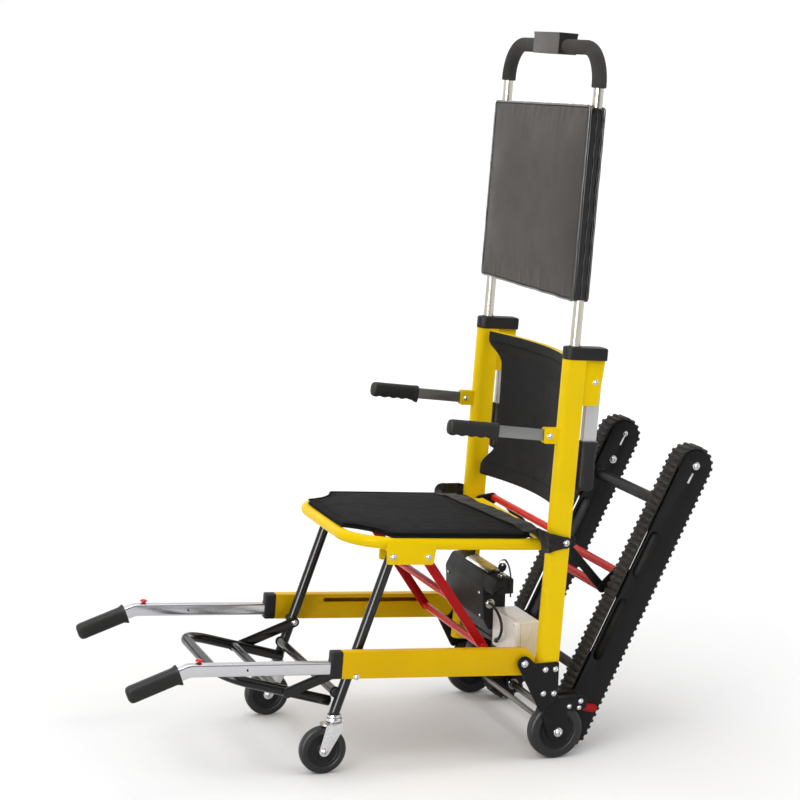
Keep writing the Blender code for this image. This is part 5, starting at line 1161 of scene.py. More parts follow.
def makeArms():
    for name, sign in sides:
        place = backAt @ spot(armBracket["pivot"], armBracket["height"], arm["rise"], sign * post["half"])
        makeFlatHandle(name + "Arm", place, name + "_arm", arm, name + "_arm")
        place = backAt @ spot(carryBracket["pivot"], carryBracket["height"], 90.0, sign * post["half"])
        makeFlatHandle(name + "Carry", place, name + "_carry_handle", carry, name + "_carry")


makeArms()
print("arms made")


# seat loop, leg brackets, padded panel and belt
seat = {"tube": 0.0125, "half": 0.205, "depth": 0.452, "corner": 0.100, "hinge": 0.011,
        "hingeHalf": 0.2219, "legReach": 0.3698, "braceReach": 0.2912, "drop": 0.0255,
        "bracketOut": 0.2195, "bracketIn": 0.170, "cheek": 0.003}


def makeSeatFrame(s):
    shape = bmesh.new()
    addTube(shape, hoop(s["half"], (0, 0), (-s["depth"], 0), s["corner"], 18), s["tube"], zAxis, 32)
    addCrossTube(shape, -s["hingeHalf"], s["hingeHalf"], 0, 0, s["hinge"], 28)
    front, back = -s["legReach"] - 0.014, -s["braceReach"] + 0.014
    outer = roundCorners([(front - 0.002, 0.006, 0.004), (front + 0.001, -0.042, 0.006),
                          (back - 0.002, -0.042, 0.006), (back + 0.003, 0.006, 0.004)])
    inner = roundCorners([(front, -0.0105, 0.002), (front, -0.042, 0.006), (back, -0.042, 0.006),
                          (back + 0.002, -0.0105, 0.002)])
    for hand in (1, -1):
        addPlate(shape, outer, hand * s["bracketOut"], hand * (s["bracketOut"] - s["cheek"]), 0.001)
        addPlate(shape, inner, hand * s["bracketIn"], hand * (s["bracketIn"] + s["cheek"]), 0.001)
        across = (hand * (s["bracketIn"] + 0.0004), hand * (s["bracketOut"] - 0.0004))
        addBlock(shape, across, (front + 0.001, back + 0.001), (-0.0141, -0.0105), 0.0008)
    makePiece("seatFrame", shape, seatAt, "yellow", "seat", ("seat_frame",))
    for reach, size in ((s["legReach"], 0.0056), (s["braceReach"], 0.0052)):
        at = seatAt @ Vector((0, -reach, -s["drop"]))
        boltPair("seat", s["bracketOut"], at.y, at.z, size)
        boltPair("seat", s["bracketIn"], at.y, at.z, size * 0.9, True)


makeSeatFrame(seat)

panel = {"half": 0.2072, "rear": -0.054, "front": -0.450, "low": 0.0133, "thick": 0.010, "voxel": 0.005,
         "pressure": 3.0, "cap": 0.0045, "binding": 0.0024, "hollow": 0.014}


def panelOutline(s):
    h, r, f = s["half"], s["rear"], s["front"]
    right = [(h - 0.025, r), (h - 0.012, r - 0.005), (h - 0.003, r - 0.016), (h, r - 0.030),
             (h, f + 0.086), (h - 0.002, f + 0.078)]
    # the front corners are cut away in a hollow curve
    start, stop = Vector((h - 0.004, f + 0.076)), Vector((0.116, f))
    inward = Vector((start.y - stop.y, stop.x - start.x)).normalized() * -s["hollow"]
    for k in range(1, 13):
        t = k / 12
        point = start.lerp(stop, t) + inward * 4 * t * (1 - t)
        right.append((point.x, point.y))
    return right + [(-x, y) for x, y in right[::-1]]


def panelLift(x, y):
    # the front edge curls up a little at its ends and dips in its middle
    front = max(0.0, (-y - 0.37) / 0.08)
    return 0.0025 * front ** 2 * (abs(x) / 0.12) ** 2 - 0.0012 * front ** 2


def makePanel(s):
    outline = panelOutline(s)
    raw = bmesh.new()
    rings = [[Vector((x, y, z)) for x, y in outline] for z in (s["low"], s["low"] + s["thick"])]
    addRings(raw, rings)
    edge = denseLoop([Vector((x, y, 0)) for x, y in outline], 0.004)

    def held(p):
        return min((e.x - p.x) ** 2 + (e.y - p.y) ** 2 for e in edge) < 0.006 ** 2 or p.z < s["low"] + 0.003

    pad = puff(raw, s, held)
    for vert in pad.verts:
        p = vert.co
        top = max(0.0, min(1.0, (p.z - s["low"]) / s["thick"]))
        wave = 0.0011 * noise.noise((p.x * 11, p.y * 11, 2.0))
        wave += 0.0005 * noise.noise((p.x * 40, p.y * 24, 6.0))
        p.z += panelLift(p.x, p.y) + top * wave
    cover = makePiece("seatPanel", pad, seatAt, "seat", "seat", ("seat_panel",), 180)
    finer(cover)
    shape = bmesh.new()
    for z in (s["low"] + 0.0016, s["low"] + s["thick"] - 0.0012):
        line = [p + Vector((0, 0, z + panelLift(p.x, p.y))) for p in edge]
        addTube(shape, line, s["binding"], zAxis, 10, 0.0004, True)
    makePiece("seatBinding", shape, seatAt, "seat", "seat")
    row = []
    for p in denseLoop([Vector((x * 0.945, (y + 0.252) * 0.945 - 0.252, 0)) for x, y in outline], 0.006):
        row.append(seatAt @ (p + Vector((0, 0, s["low"] + s["thick"] + 0.0022 + panelLift(p.x, p.y)))))
    stitch("seatStitches", [row + row[:1]], 0.006, (0.0, 0.06, 1.0), "seat")


makePanel(panel)

belt = {"width": 0.046, "thick": 0.0022, "place": -0.076, "sway": 0.028, "rise": 0.0300}


def beltSide(sign, s):
    # centre line, width direction and width share, from the middle of the seat to the bolt on the post
    inv = seatAt.inverted() @ chairAt
    boltAt = inv @ Vector((sign * 0.2604, 0.0031, 0.4728))
    rows = []
    for k in range(14):
        x = 0.188 * k / 13
        y = s["place"] + s["sway"] * sign * x / 0.2
        z = s["rise"] + 0.0008 * math.sin(k * 0.9) - 0.004 * max(0.0, k - 10) / 3
        rows.append((Vector((sign * x, y, z)), Vector((0, 1, 0.02 * math.sin(k))), 1.0))
    knee = Vector((sign * 0.2275, s["place"] + s["sway"] * sign * 1.05 + (0.0 if sign > 0 else 0.014),
                   0.0135))
    nose = Vector((sign * 0.2635, -0.040, 0.0150))
    for t in (0.3, 0.6, 0.85, 1.0):
        a = rows[13][0].lerp(knee, t)
        rows.append((a, Vector((sign * 0.30 * t, 1.0 - 0.62 * t, -0.85 * t)).normalized(), 1.0 + 0.26 * t))
    for t in (0.25, 0.5, 0.75, 1.0):
        way = Vector((sign * 0.30 * (1 - t), 0.38 * (1 - t) + 0.1, -0.85 - 0.15 * t)).normalized()
        rows.append((knee.lerp(nose, t), way, 1.26 - 0.34 * t))
    for t in (0.3, 0.6, 1.0):
        rows.append((nose.lerp(boltAt + Vector((0, -0.004, 0)), t), Vector((0, 0.05, -1.0)),
                     0.92 - 0.36 * t))
    return rows, boltAt


def smoothRows(rows, steps=4):
    # places, directions and shares drawn as smooth curves through the rows
    made = []
    for i in range(len(rows) - 1):
        for k in range(steps):
            t = k / steps
            weights = (((2 - t) * t - 1) * t / 2, ((3 * t - 5) * t * t + 2) / 2,
                       ((4 - 3 * t) * t + 1) * t / 2, (t - 1) * t * t / 2)
            near = [rows[max(0, min(len(rows) - 1, i + o))] for o in (-1, 0, 1, 2)]
            place, way = (sum((row[n] * w for row, w in zip(near, weights)), Vector()) for n in (0, 1))
            made.append((place, way.normalized(), sum(row[2] * w for row, w in zip(near, weights))))
    return made + [rows[-1]]


def makeBelt(s):
    for name, sign in sides:
        rows, boltAt = beltSide(sign, s)
        rows = smoothRows(rows)
        shape = bmesh.new()
        layer = shape.loops.layers.uv.new("weave")
        grid, run, spots = [], 0.0, []
        cells = 14
        for i, (here, way, share) in enumerate(rows):
            ahead = (rows[min(i + 1, len(rows) - 1)][0] - rows[max(i - 1, 0)][0]).normalized()
            way = (way - ahead * way.dot(ahead)).normalized()
            up = ahead.cross(way) * sign
            run += (here - rows[i - 1][0]).length if i else 0.0
            gather = max(0.0, 1.0 - share) / 0.46 + 0.5 * eased((abs(here.x) - 0.205) / 0.03)
            line = []
            for c in range(cells + 1):
                u = c / cells - 0.5
                fold = 0.0022 * math.sin(u * 11 + i * 0.1) + 0.0008 * math.sin(u * 25 + i * 0.3)
                rise = gather * fold + 0.0005 * math.sin(i * 0.5)
                line.append(here + way * (u * s["width"] * share) + up * rise)
            grid.append((line, up, run))
        for lift in (0.5, -0.5):
            spots.append([[shape.verts.new(p + up * s["thick"] * lift) for p in line]
                          for line, up, _ in grid])
        top, low = spots
        for i in range(len(grid) - 1):
            for c in range(cells):
                for sheet in (top, low):
                    near, far = sheet[i], sheet[i + 1]
                    face = shape.faces.new((near[c], near[c + 1], far[c + 1], far[c]))
                    for loop, (du, dv) in zip(face.loops, ((0, 0), (1, 0), (1, 1), (0, 1))):
                        loop[layer].uv = ((c + du) / cells * s["width"], grid[i + dv][2])
            for c in (0, cells):
                shape.faces.new((top[i][c], top[i + 1][c], low[i + 1][c], low[i][c]))
        for i in (0, -1):
            for c in range(cells):
                shape.faces.new((top[i][c], top[i][c + 1], low[i][c + 1], low[i][c]))
        bmesh.ops.recalc_face_normals(shape, faces=shape.faces)
        half = makePiece(name + "Belt", shape, seatAt, "webbing", None, ("seat_belt",), 50)
        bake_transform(half)
        shape = bmesh.new()
        tab = hullOutline([(boltAt.y, boltAt.z, 0.0125), (boltAt.y - 0.017, boltAt.z - 0.0005, 0.0115)])
        x = sign * 0.2588
        addPlate(shape, tab, x, x + sign * 0.0042, 0.0012)
        makePiece(name + "BeltTab", shape, seatAt, "moulded", "back_frame")
        place = seatAt @ boltAt
        bolt("back_frame", (sign * 0.2629, place.y, place.z), (sign, 0, 0), 0.0056)


makeBelt(belt)
print("seat made")


# red seat brace
brace = {"inner": 0.1733, "outer": 0.1793, "wide": 0.020, "length": 0.2587, "rung": 0.124, "rod": 0.008,
         "slider": 0.004, "reach": 0.2269}


def makeBrace(s):
    shape = bmesh.new()
    outline = hullOutline([(0, 0, s["wide"] / 2), (0, -s["length"], s["wide"] / 2)])
    for hand in (1, -1):
        addPlate(shape, outline, hand * s["inner"], hand * s["outer"], 0.0007)
    addCrossTube(shape, -s["reach"], s["reach"], 0, -s["length"], s["slider"], 20, 0.0006)
    addCrossTube(shape, -s["outer"] - 0.004, s["outer"] + 0.004, 0, -s["length"], s["rod"])
    addCrossTube(shape, -s["inner"] - 0.003, s["inner"] + 0.003, 0, -s["rung"], s["rod"])
    r = s["rod"]
    weld = ((r - 0.001, -0.0024), (r + 0.0014, -0.0014), (r + 0.0018, 0.0), (r - 0.001, 0.0))
    for hand in (1, -1):  # weld collars where the rung meets the bars
        addLathe(shape, weld, 0.0, -s["rung"], 28, hand * s["inner"])
    piece = makePiece("seatBrace", shape, braceAt, "red", "brace", ("seat_brace",))
    # faces across the chair (the tubes and the bars' rims) take the brighter copy of the red: painted
    # highlight
    paintFaces(piece, "redLitCopy", lambda way: abs(way.x) < 0.6)


makeBrace(brace)


# side rails with end caps, sliding tubes, grips and knobs
rail = {"inner": 0.2275, "outer": 0.2525, "tall": 0.056, "length": 0.402, "wall": 0.0024, "capLong": 0.0235,
        "slotFrom": 0.0592, "slotTo": 0.2852, "slotRise": 0.015, "slotTall": 0.009}


def makeRails(s):
    half = s["tall"] / 2
    bend = [math.pi / 2 - math.pi * k / 24 for k in range(25)]
    outline = [(half * math.cos(a), half * math.sin(a)) for a in bend]
    outline += [(-s["length"], -half), (-s["length"], half)]
    # the brace's lower rod slides here
    ends = [(-reach, s["slotRise"], s["slotTall"] / 2) for reach in (s["slotFrom"], s["slotTo"])]
    slot = hullOutline(ends, 24)
    for name, sign in sides:
        shape = bmesh.new()
        addPlate(shape, outline, s["inner"], s["inner"] + s["wall"], 0.0011, [slot])
        addPlate(shape, outline, s["outer"] - s["wall"], s["outer"], 0.0011)
        for z in (half - 0.0012, -half + 0.0012):
            across, along = (s["inner"] + 0.0006, s["outer"] - 0.0006), (-s["length"] + 0.0004, 0.0)
            addBlock(shape, across, along, (z - 0.0011, z + 0.0011), 0.0008)
        x0, x1, r0, r1 = s["inner"] + 0.0008, s["outer"] - 0.0008, half, half - 0.002
        corners = ((x0, r0), (x1, r0), (x1, r1), (x0, r1))
        addRings(shape, [[Vector((x, r * math.cos(a), r * math.sin(a))) for x, r in corners] for a in bend])
        if sign < 0:
            mirror(shape)
        # the rails take the darker copy of the yellow: painted shade
        makePiece(name + "Rail", shape, railAt, "yellowShadedCopy", "rails", (name + "_rail",))
        shape = bmesh.new()
        rings, throat = [], []
        for inset, y in ((0.001, 0.0), (0.0, 0.001), (0.0, s["capLong"] - 0.003),
                         (0.0009, s["capLong"] - 0.001), (0.0028, s["capLong"])):
            section = roundedBox(0.026 - 2 * inset, 0.0576 - 2 * inset, 0.0052 - inset)
            rings.append([Vector((u, -s["length"] - 0.0003 - y, v)) for u, v in section])
        for wider, y in ((0.0, -0.004), (0.0018, -0.004), (0.0022, 0.0008), (0.0010, 0.0012),
                         (0.0, 0.0006)):
            section = roundedBox(0.0203 + 2 * wider, 0.0278 + 2 * wider, 0.0056 + wider / 2)
            throat.append([Vector((u, -s["length"] - s["capLong"] - y, v - 0.0065)) for u, v in section])
        addRings(shape, rings)
        addRings(shape, throat)
        place = railAt @ spot(0, 0, 0, sign * post["half"])
        makePiece(name + "RailCap", shape, place, "moulded", "rails",
                  (name + "_rail_cap",))
    boltPair("rails", s["outer"], legAt.translation.y, legAt.translation.z, 0.0054)


makeRails(rail)

carryTube = {"wide": 0.0195, "tall": 0.027, "drop": 0.0065, "inner": 0.310, "bend": 0.722, "end": 0.840,
             "slope": 22.5, "radius": 0.035,
             "grip": {"start": 0.022, "length": 0.112, "tall": 0.035, "wide": 0.029, "flareDown": 0.0048,
                      "flareUp": 0.003, "flareWide": 0.0016, "flareLong": 0.1}}
knob = {"place": 0.703, "stem": 0.0036, "cap": 0.0081, "top": 0.0060, "hole": 0.603}


def makeCarryTubes(s, k):
    fall = (s["end"] - s["bend"]) * math.tan(math.radians(s["slope"]))
    path = bentPath([(Vector((0, -s["inner"], -s["drop"])), 0),
                     (Vector((0, -s["bend"], -s["drop"])), s["radius"]),
                     (Vector((0, -s["end"], -s["drop"] - fall)), 0)], 14)
    top = -s["drop"] + s["tall"] / 2
    for name, sign in sides:
        place = railAt @ spot(0, 0, 0, sign * post["half"])
        shape = bmesh.new()
        addSwept(shape, path, roundedBox(s["wide"], s["tall"], 0.0048), xAxis)
        rim = ((0.0022, -0.0008), (0.0034, -0.0008), (0.0034, 0.0), (0.0027, 0.0002), (0.0022, 0.0))
        for hand in (1, -1):  # rim of the locking hole
            addLathe(shape, handed(rim, hand), -k["hole"], -s["drop"], 20, hand * s["wide"] / 2)
        makePiece(name + "CarryTube", shape, place, "chrome", name + "_slide",
                  (name + "_carry_tube",))
        shape = bmesh.new()
        for x in (s["wide"] / 2, -s["wide"] / 2):
            addCrossTube(shape, x - 0.0002, x + 0.0001, -k["hole"], -s["drop"], 0.0023, 16, 0.0001)
        addRod(shape, (0, -k["place"], top - 0.001), (0, -k["place"], top + 0.0010), 0.0062, xAxis, 20,
               0.0006)
        makePiece(name + "TubeHole", shape, place, "moulded", name + "_slide")
        shape = bmesh.new()
        gripShape(shape, s["grip"])
        hold = place @ spot(-s["bend"], -s["drop"], s["slope"])
        makePiece(name + "TubeGrip", shape, hold, "grip", name + "_slide",
                  (name + "_carry_tube_grip",), 60)
        shape = bmesh.new()
        stem, cap, high = k["stem"], k["cap"], k["top"]
        stops = ((stem, -0.004), (stem, 0.0040), (0.0050, 0.0043), (cap - 0.0006, 0.0046), (cap, 0.0054),
                 (cap - 0.0004, high + 0.0012), (cap - 0.0022, high + 0.0026), (0.0030, high + 0.0033),
                 (0.0008, high + 0.0034))
        addTurned(shape, stops, (0, -k["place"], top), 28)
        makePiece(name + "Knob", shape, place, "redPlastic", name + "_button",
                  (name + "_release_button",))


makeCarryTubes(carryTube, knob)
print("rails made")


# front legs, footrest and casters
legs = {"tube": 0.011, "half": 0.205, "topY": 0.085957, "topZ": 0.240036, "stemDrop": 0.088,
        "stemLow": 0.110, "bar": 0.0095, "barDrop": 0.046}
footrest = {"tube": 0.011, "half": 0.170, "slope": 16.8, "drop": 0.0725, "rear": 0.031, "front": 0.278,
            "corner": 0.070, "rung": 0.150, "armPlace": 0.130, "armWide": 0.022}


def makeLegs(s):
    shape = bmesh.new()
    top = Vector((0, s["topY"], s["topZ"]))
    down = -top.normalized()
    knee = down * (s["stemDrop"] / -down.z)
    foot = Vector((0, knee.y, s["stemLow"] - legAt.translation.z))
    path = bentPath([(top - down * 0.004, 0), (knee, 0.020), (foot, 0)], 10)
    collars = bmesh.new()
    for hand in (1, -1):
        out = Vector((hand * s["half"], 0, 0))
        addTube(shape, [p + out for p in path], s["tube"], xAxis, 30)
        low = foot + out
        addRod(shape, low + zAxis * 0.0002, low + zAxis * 0.013, s["tube"] + 0.0012, xAxis, 30, 0.001)
        for z0, z1, r in ((0.0004, 0.0078, 0.0172), (0.0082, 0.0146, 0.0148)):
            stops = ((0.0126, z0), (r - 0.0008, z0), (r, z0 + 0.001), (r, z1 - 0.0016), (r - 0.0012, z1),
                     (0.0126, z1))
            addTurned(collars, stops, low, 36, closed=True)
        for y, z, radius, x0, x1 in ((0, 0, 0.0085, s["half"] + 0.008, 0.2272),
                                     (0, 0, 0.0085, 0.1864, s["half"] - 0.008),
                                     (top.y, top.z, 0.0065, s["half"] - 0.008, 0.2162)):
            addCrossTube(shape, hand * x0, hand * x1, y, z, radius, 24, 0.0007)
    y = down.y * s["barDrop"] / -down.z - s["tube"]
    addCrossTube(shape, -s["half"], s["half"], y, -s["barDrop"], s["bar"])
    weld = ((0.0085, -0.003), (0.0112, -0.0015), (0.0118, 0.0), (0.0085, 0.0))
    for hand in (1, -1):
        addLathe(shape, weld, y, -s["barDrop"], 28, hand * (s["half"] - 0.008))
    makePiece("casterCollars", collars, legAt, "zinc", "legs")
    makePiece("frontLegs", shape, legAt, "blackTube", "legs", ("front_leg_frame",))


makeLegs(legs)


def makeFootrest(s):
    slope = math.radians(s["slope"])

    def on(reach):
        far = reach - s["rear"]
        return -s["rear"] - far * math.cos(slope), -s["drop"] + far * math.sin(slope)

    shape = bmesh.new()
    path = hoop(s["half"], on(s["rear"]), on(s["front"]), s["corner"], 16)
    addTube(shape, path, s["tube"], Vector((0, math.sin(slope), math.cos(slope))), 30)
    rung = on(s["rung"])
    addCrossTube(shape, -s["half"], s["half"], *rung, s["tube"] * 0.86)
    weld = ((0.009, -0.003), (0.0118, -0.0015), (0.0122, 0.0), (0.009, 0.0))
    arm = hullOutline([(0, 0, s["armWide"] / 2), (*on(s["armPlace"]), s["armWide"] / 2)])
    for hand in (1, -1):
        addLathe(shape, weld, *rung, 28, hand * (s["half"] - 0.0075))
        inner = hand * (s["half"] + s["tube"] - 0.001)
        addPlate(shape, arm, inner, hand * (s["half"] + s["tube"] + 0.005), 0.0009)
        bolt("foot_loop", (inner, legAt.translation.y, legAt.translation.z), (-hand, 0, 0), 0.0052)
    makePiece("footrestLoop", shape, legAt, "blackTube", "foot_loop", ("footrest",))


makeFootrest(footrest)

caster = {"radius": 0.050, "half": 0.012, "hub": 0.014, "rim": 0.033, "trail": 0.0245, "cheekIn": 0.0135,
          "cheekOut": 0.0165, "crown": 0.103, "y": -0.202832}
rearWheel = {"radius": 0.060, "half": 0.014, "x": 0.2419, "hub": 0.016, "rim": 0.038}


def wheelProfiles(s):
    # tyre with rounded shoulders over a dished hub; (radius, x), open at the axle
    radius, half, hub, rim = s["radius"], s["half"], s["hub"], s["rim"]
    tyre = [(rim + 0.0022, -half + 0.0012), (rim + 0.0034, -half)]
    for k in range(9):
        a = math.pi / 2 * k / 8
        tyre.append((radius - 0.0075 + 0.0075 * math.sin(a), -half + 0.0075 - 0.0075 * math.cos(a)))
    tyre = tyre + [(r, -x) for r, x in tyre[::-1]]
    disc = [(0.0053, -half), (hub - 0.001, -half), (hub, -half + 0.001), (hub + 0.002, -half + 0.0046),
            (rim - 0.004, -half + 0.0046), (rim - 0.002, -half + 0.0030), (rim + 0.0004, -half + 0.0022),
            (rim + 0.003, -half + 0.0022)]
    return tyre, disc + [(r, -x) for r, x in disc[::-1]]


def makeWheel(name, place, body, node, s):
    half, hub, rim = s["half"], s["hub"], s["rim"]
    tyre, disc = wheelProfiles(s)
    shape = bmesh.new()
    addLathe(shape, tyre, 0, 0, 80)
    makePiece(name + "Tyre", shape, place, "tyre", body, (node,))
    shape = bmesh.new()
    addLathe(shape, disc, 0, 0, 72)
    ring = ((rim - 0.010, -0.001), (rim - 0.010, 0.0008), (rim - 0.0085, 0.0008), (rim - 0.0085, -0.001))
    for hand in (1, -1):  # moulded ring and pips on the disc
        x = hand * (half - 0.0046)
        addLathe(shape, handed(ring, hand), 0, 0, 56, x)
        for y, z in circlePoints((hub + rim) / 2 - 0.003, 5, 0.3):
            addCrossTube(shape, x - 0.001, x + 0.001, y, z, 0.0018, 12, 0.0005)
    makePiece(name + "Hub", shape, place, "moulded", body)


def makeCasters(s):
    for name, sign in sides:
        place = spot(s["y"], 0.0, 0.0, sign * legs["half"])
        shape = bmesh.new()
        top = s["crown"]
        cheek = hullOutline([(-s["trail"], s["radius"], 0.0112), (-0.0125, top - 0.003, 0.009),
                             (0.0085, top - 0.003, 0.009)])
        for hand in (1, -1):
            addPlate(shape, cheek, hand * s["cheekIn"], hand * s["cheekOut"], 0.0009)
        crown = [(v, u) for u, v in hullOutline([(0, 0, 0.0172), (-s["trail"] * 0.62, 0, 0.0158)])]
        stops = ((-0.0002, 0.985), (0.0008, 1.0), (0.0024, 1.0), (0.0030, 0.98))
        addRings(shape, [[Vector((x * k, y * k, top + z)) for x, y in crown] for z, k in stops])
        for stops in (((0.0150, 0.0030), (0.0165, 0.0034), (0.0168, 0.0048), (0.0150, 0.0054)),
                      ((0.0080, 0.0050), (0.0080, 0.0067))):
            addTurned(shape, stops, (0, 0, top), 36)
        addCrossTube(shape, -s["cheekOut"] + 0.0005, s["cheekOut"] - 0.0005, -s["trail"], s["radius"],
                     0.005, 20)
        makePiece(name + "CasterFork", shape, place, "zinc", name + "_swivel",
                  (name + "_caster_fork",))
        for hand in (1, -1):
            at = (sign * legs["half"] + hand * s["cheekOut"], s["y"] - s["trail"], s["radius"])
            bolt(name + "_swivel", at, (hand, 0, 0), 0.0056)
        place = spot(s["y"] - s["trail"], s["radius"], 0.0, sign * legs["half"])
        makeWheel(name + "Caster", place, name + "_caster", name + "_caster_wheel", s)


def makeRearWheels(s):
    for name, sign in sides:
        place = spot(chairAt.translation.y, s["radius"], 0.0, sign * s["x"])
        makeWheel(name + "Rear", place, name + "_wheel", name + "_rear_wheel", s)


makeCasters(caster)
makeRearWheels(rearWheel)
print("legs and wheels made")


# black base plates, rear forks and axle
base = {"inner": 0.2578, "outer": 0.2618, "postIn": 0.2225, "hub": 0.024, "pivot": (0.0505, 0.1205),
        "lobe": (-0.082, 0.217, 0.0155), "shoulder": (-0.0062, 0.2115, 0.0035),
        "heel": (-0.0125, 0.1385, 0.0095), "toe": (-0.038, 0.117, 0.0095)}
# place on the plate and size
baseBolts = ((-0.0822, 0.2165, 0.0062), (-0.0342, 0.2005, 0.0050), (-0.0110, 0.2000, 0.0050),
             (-0.0373, 0.1482, 0.0048), (-0.0129, 0.1466, 0.0048), (0.0, 0.060, 0.0080),
             (0.0240, 0.1150, 0.0042), (0.0505, 0.1245, 0.0046), (0.0470, 0.1105, 0.0040))


def unionOutline(centre, outlines, count=200):
    # the outer edge of overlapping outlines, seen from a point inside them all
    points = []
    for k in range(count):
        c, d = math.cos(2 * math.pi * k / count), math.sin(2 * math.pi * k / count)
        far = 0.0
        for ring in outlines:
            for (u0, v0), (u1, v1) in zip(ring, ring[1:] + ring[:1]):
                a, b = u0 - centre[0], v0 - centre[1]
                p, q = u1 - u0, v1 - v0
                cross = c * q - d * p
                if abs(cross) > 1e-12:
                    reach, share = (a * q - b * p) / cross, (a * d - b * c) / cross
                    if 0.0 <= share <= 1.0:
                        far = max(far, reach)
        points.append((centre[0] + c * far, centre[1] + d * far))
    return points


def makeBase(s):
    low, high = s["toe"], s["heel"]
    seam = Vector((high[0] - low[0], high[1] - low[1])).normalized()
    ends = []
    for at in (low, high):
        centre = Vector(at[:2]) + Vector((seam.y, -seam.x)) * (at[2] + 0.0146)
        ends.append((centre.x, centre.y, 0.0143))
    body = hullOutline([(0, 0.060, s["hub"]), *ends])
    arm = hullOutline([ends[1], (*s["pivot"], 0.017)])
    front = hullOutline([s["lobe"], (-0.060, 0.2035, 0.010), high, low])
    rear = hullOutline([(-0.060, 0.2050, 0.010), s["shoulder"], high, low])
    plate = unionOutline((-0.045, 0.180), [front, rear])
    for name, sign in sides:
        shape = bmesh.new()
        addPlate(shape, plate, s["inner"], s["outer"], 0.0009)
        addCrossTube(shape, 0.2528, s["inner"] + 0.001, -0.082, 0.217, 0.012, 32, 0.0006)
        if sign < 0:
            mirror(shape)
        makePiece(name + "BasePlate", shape, chairAt, "blackCoat", "back_frame",
                  (name + "_base_plate",))
        shape = bmesh.new()
        addPlate(shape, body, s["inner"], s["outer"], 0.0009)
        addPlate(shape, arm, s["inner"] + 0.0002, s["outer"] - 0.0002, 0.0009)
        addPlate(shape, body, s["postIn"], s["postIn"] + 0.0035, 0.0008)
        addPlate(shape, arm, s["postIn"] + 0.0002, s["postIn"] + 0.0033, 0.0008)
        across = (s["postIn"] + 0.0025, s["inner"] + 0.001)
        addBlock(shape, across, (0.006, s["pivot"][0] + 0.008), (0.1215, 0.1315), 0.0015)
        addCrossTube(shape, *across, 0, 0.060, 0.005, 24)
        addCrossTube(shape, 0.2105, s["postIn"] + 0.001, *s["pivot"], 0.010, 28, 0.0006)
        if sign > 0:
            addCrossTube(shape, 0.2157, s["postIn"] + 0.001, 0.052, 0.101, 0.0065, 24, 0.0005)
            ear = hullOutline([(*s["pivot"], 0.012), (0.052, 0.101, 0.010)])
            addPlate(shape, ear, s["postIn"] + 0.0004, s["postIn"] + 0.0031, 0.0007)
        else:
            mirror(shape)
        makePiece(name + "WheelFork", shape, chairAt, "blackCoat", "back_frame",
                  (name + "_wheel_fork",))
    for y, z, size in baseBolts:
        boltPair("back_frame", s["outer"], y + chairAt.translation.y, z, size)
    shape = bmesh.new()
    addCrossTube(shape, -0.2222, 0.2222, 0, 0.060, 0.006, 32)
    for hand in (1, -1):
        addCrossTube(shape, hand * 0.2080, hand * 0.2222, 0, 0.060, 0.0095, 30)
    makePiece("rearAxle", shape, chairAt, "rod", "back_frame", ("rear_axle",))


makeBase(base)


# drive unit: frame, housing with its clear cover, motor, battery, key
def dressCopy(name, node, edge, finish, body):
    shape = bmesh.new()
    shape.from_mesh(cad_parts[node].data)
    bmesh.ops.remove_doubles(shape, verts=shape.verts, dist=1e-5)
    bmesh.ops.dissolve_limit(shape, angle_limit=math.radians(1.5), verts=shape.verts, edges=shape.edges)
    sharp = [e for e in shape.edges if len(e.link_faces) == 2 and e.calc_face_angle() > math.radians(40)]
    rounded(shape, sharp, edge)
    return makePiece(name, shape, None, finish, body, (node,))


dressCopy("driveFrame", "drive_frame", 0.0008, "blackCoat", "back_frame")

housing = {"left": 0.110, "right": -0.170, "step": 0.060, "front": -0.100, "back": -0.048, "low": 0.236,
           "high": 0.362, "overhang": 0.328, "windowRight": -0.085, "windowLeft": 0.050}


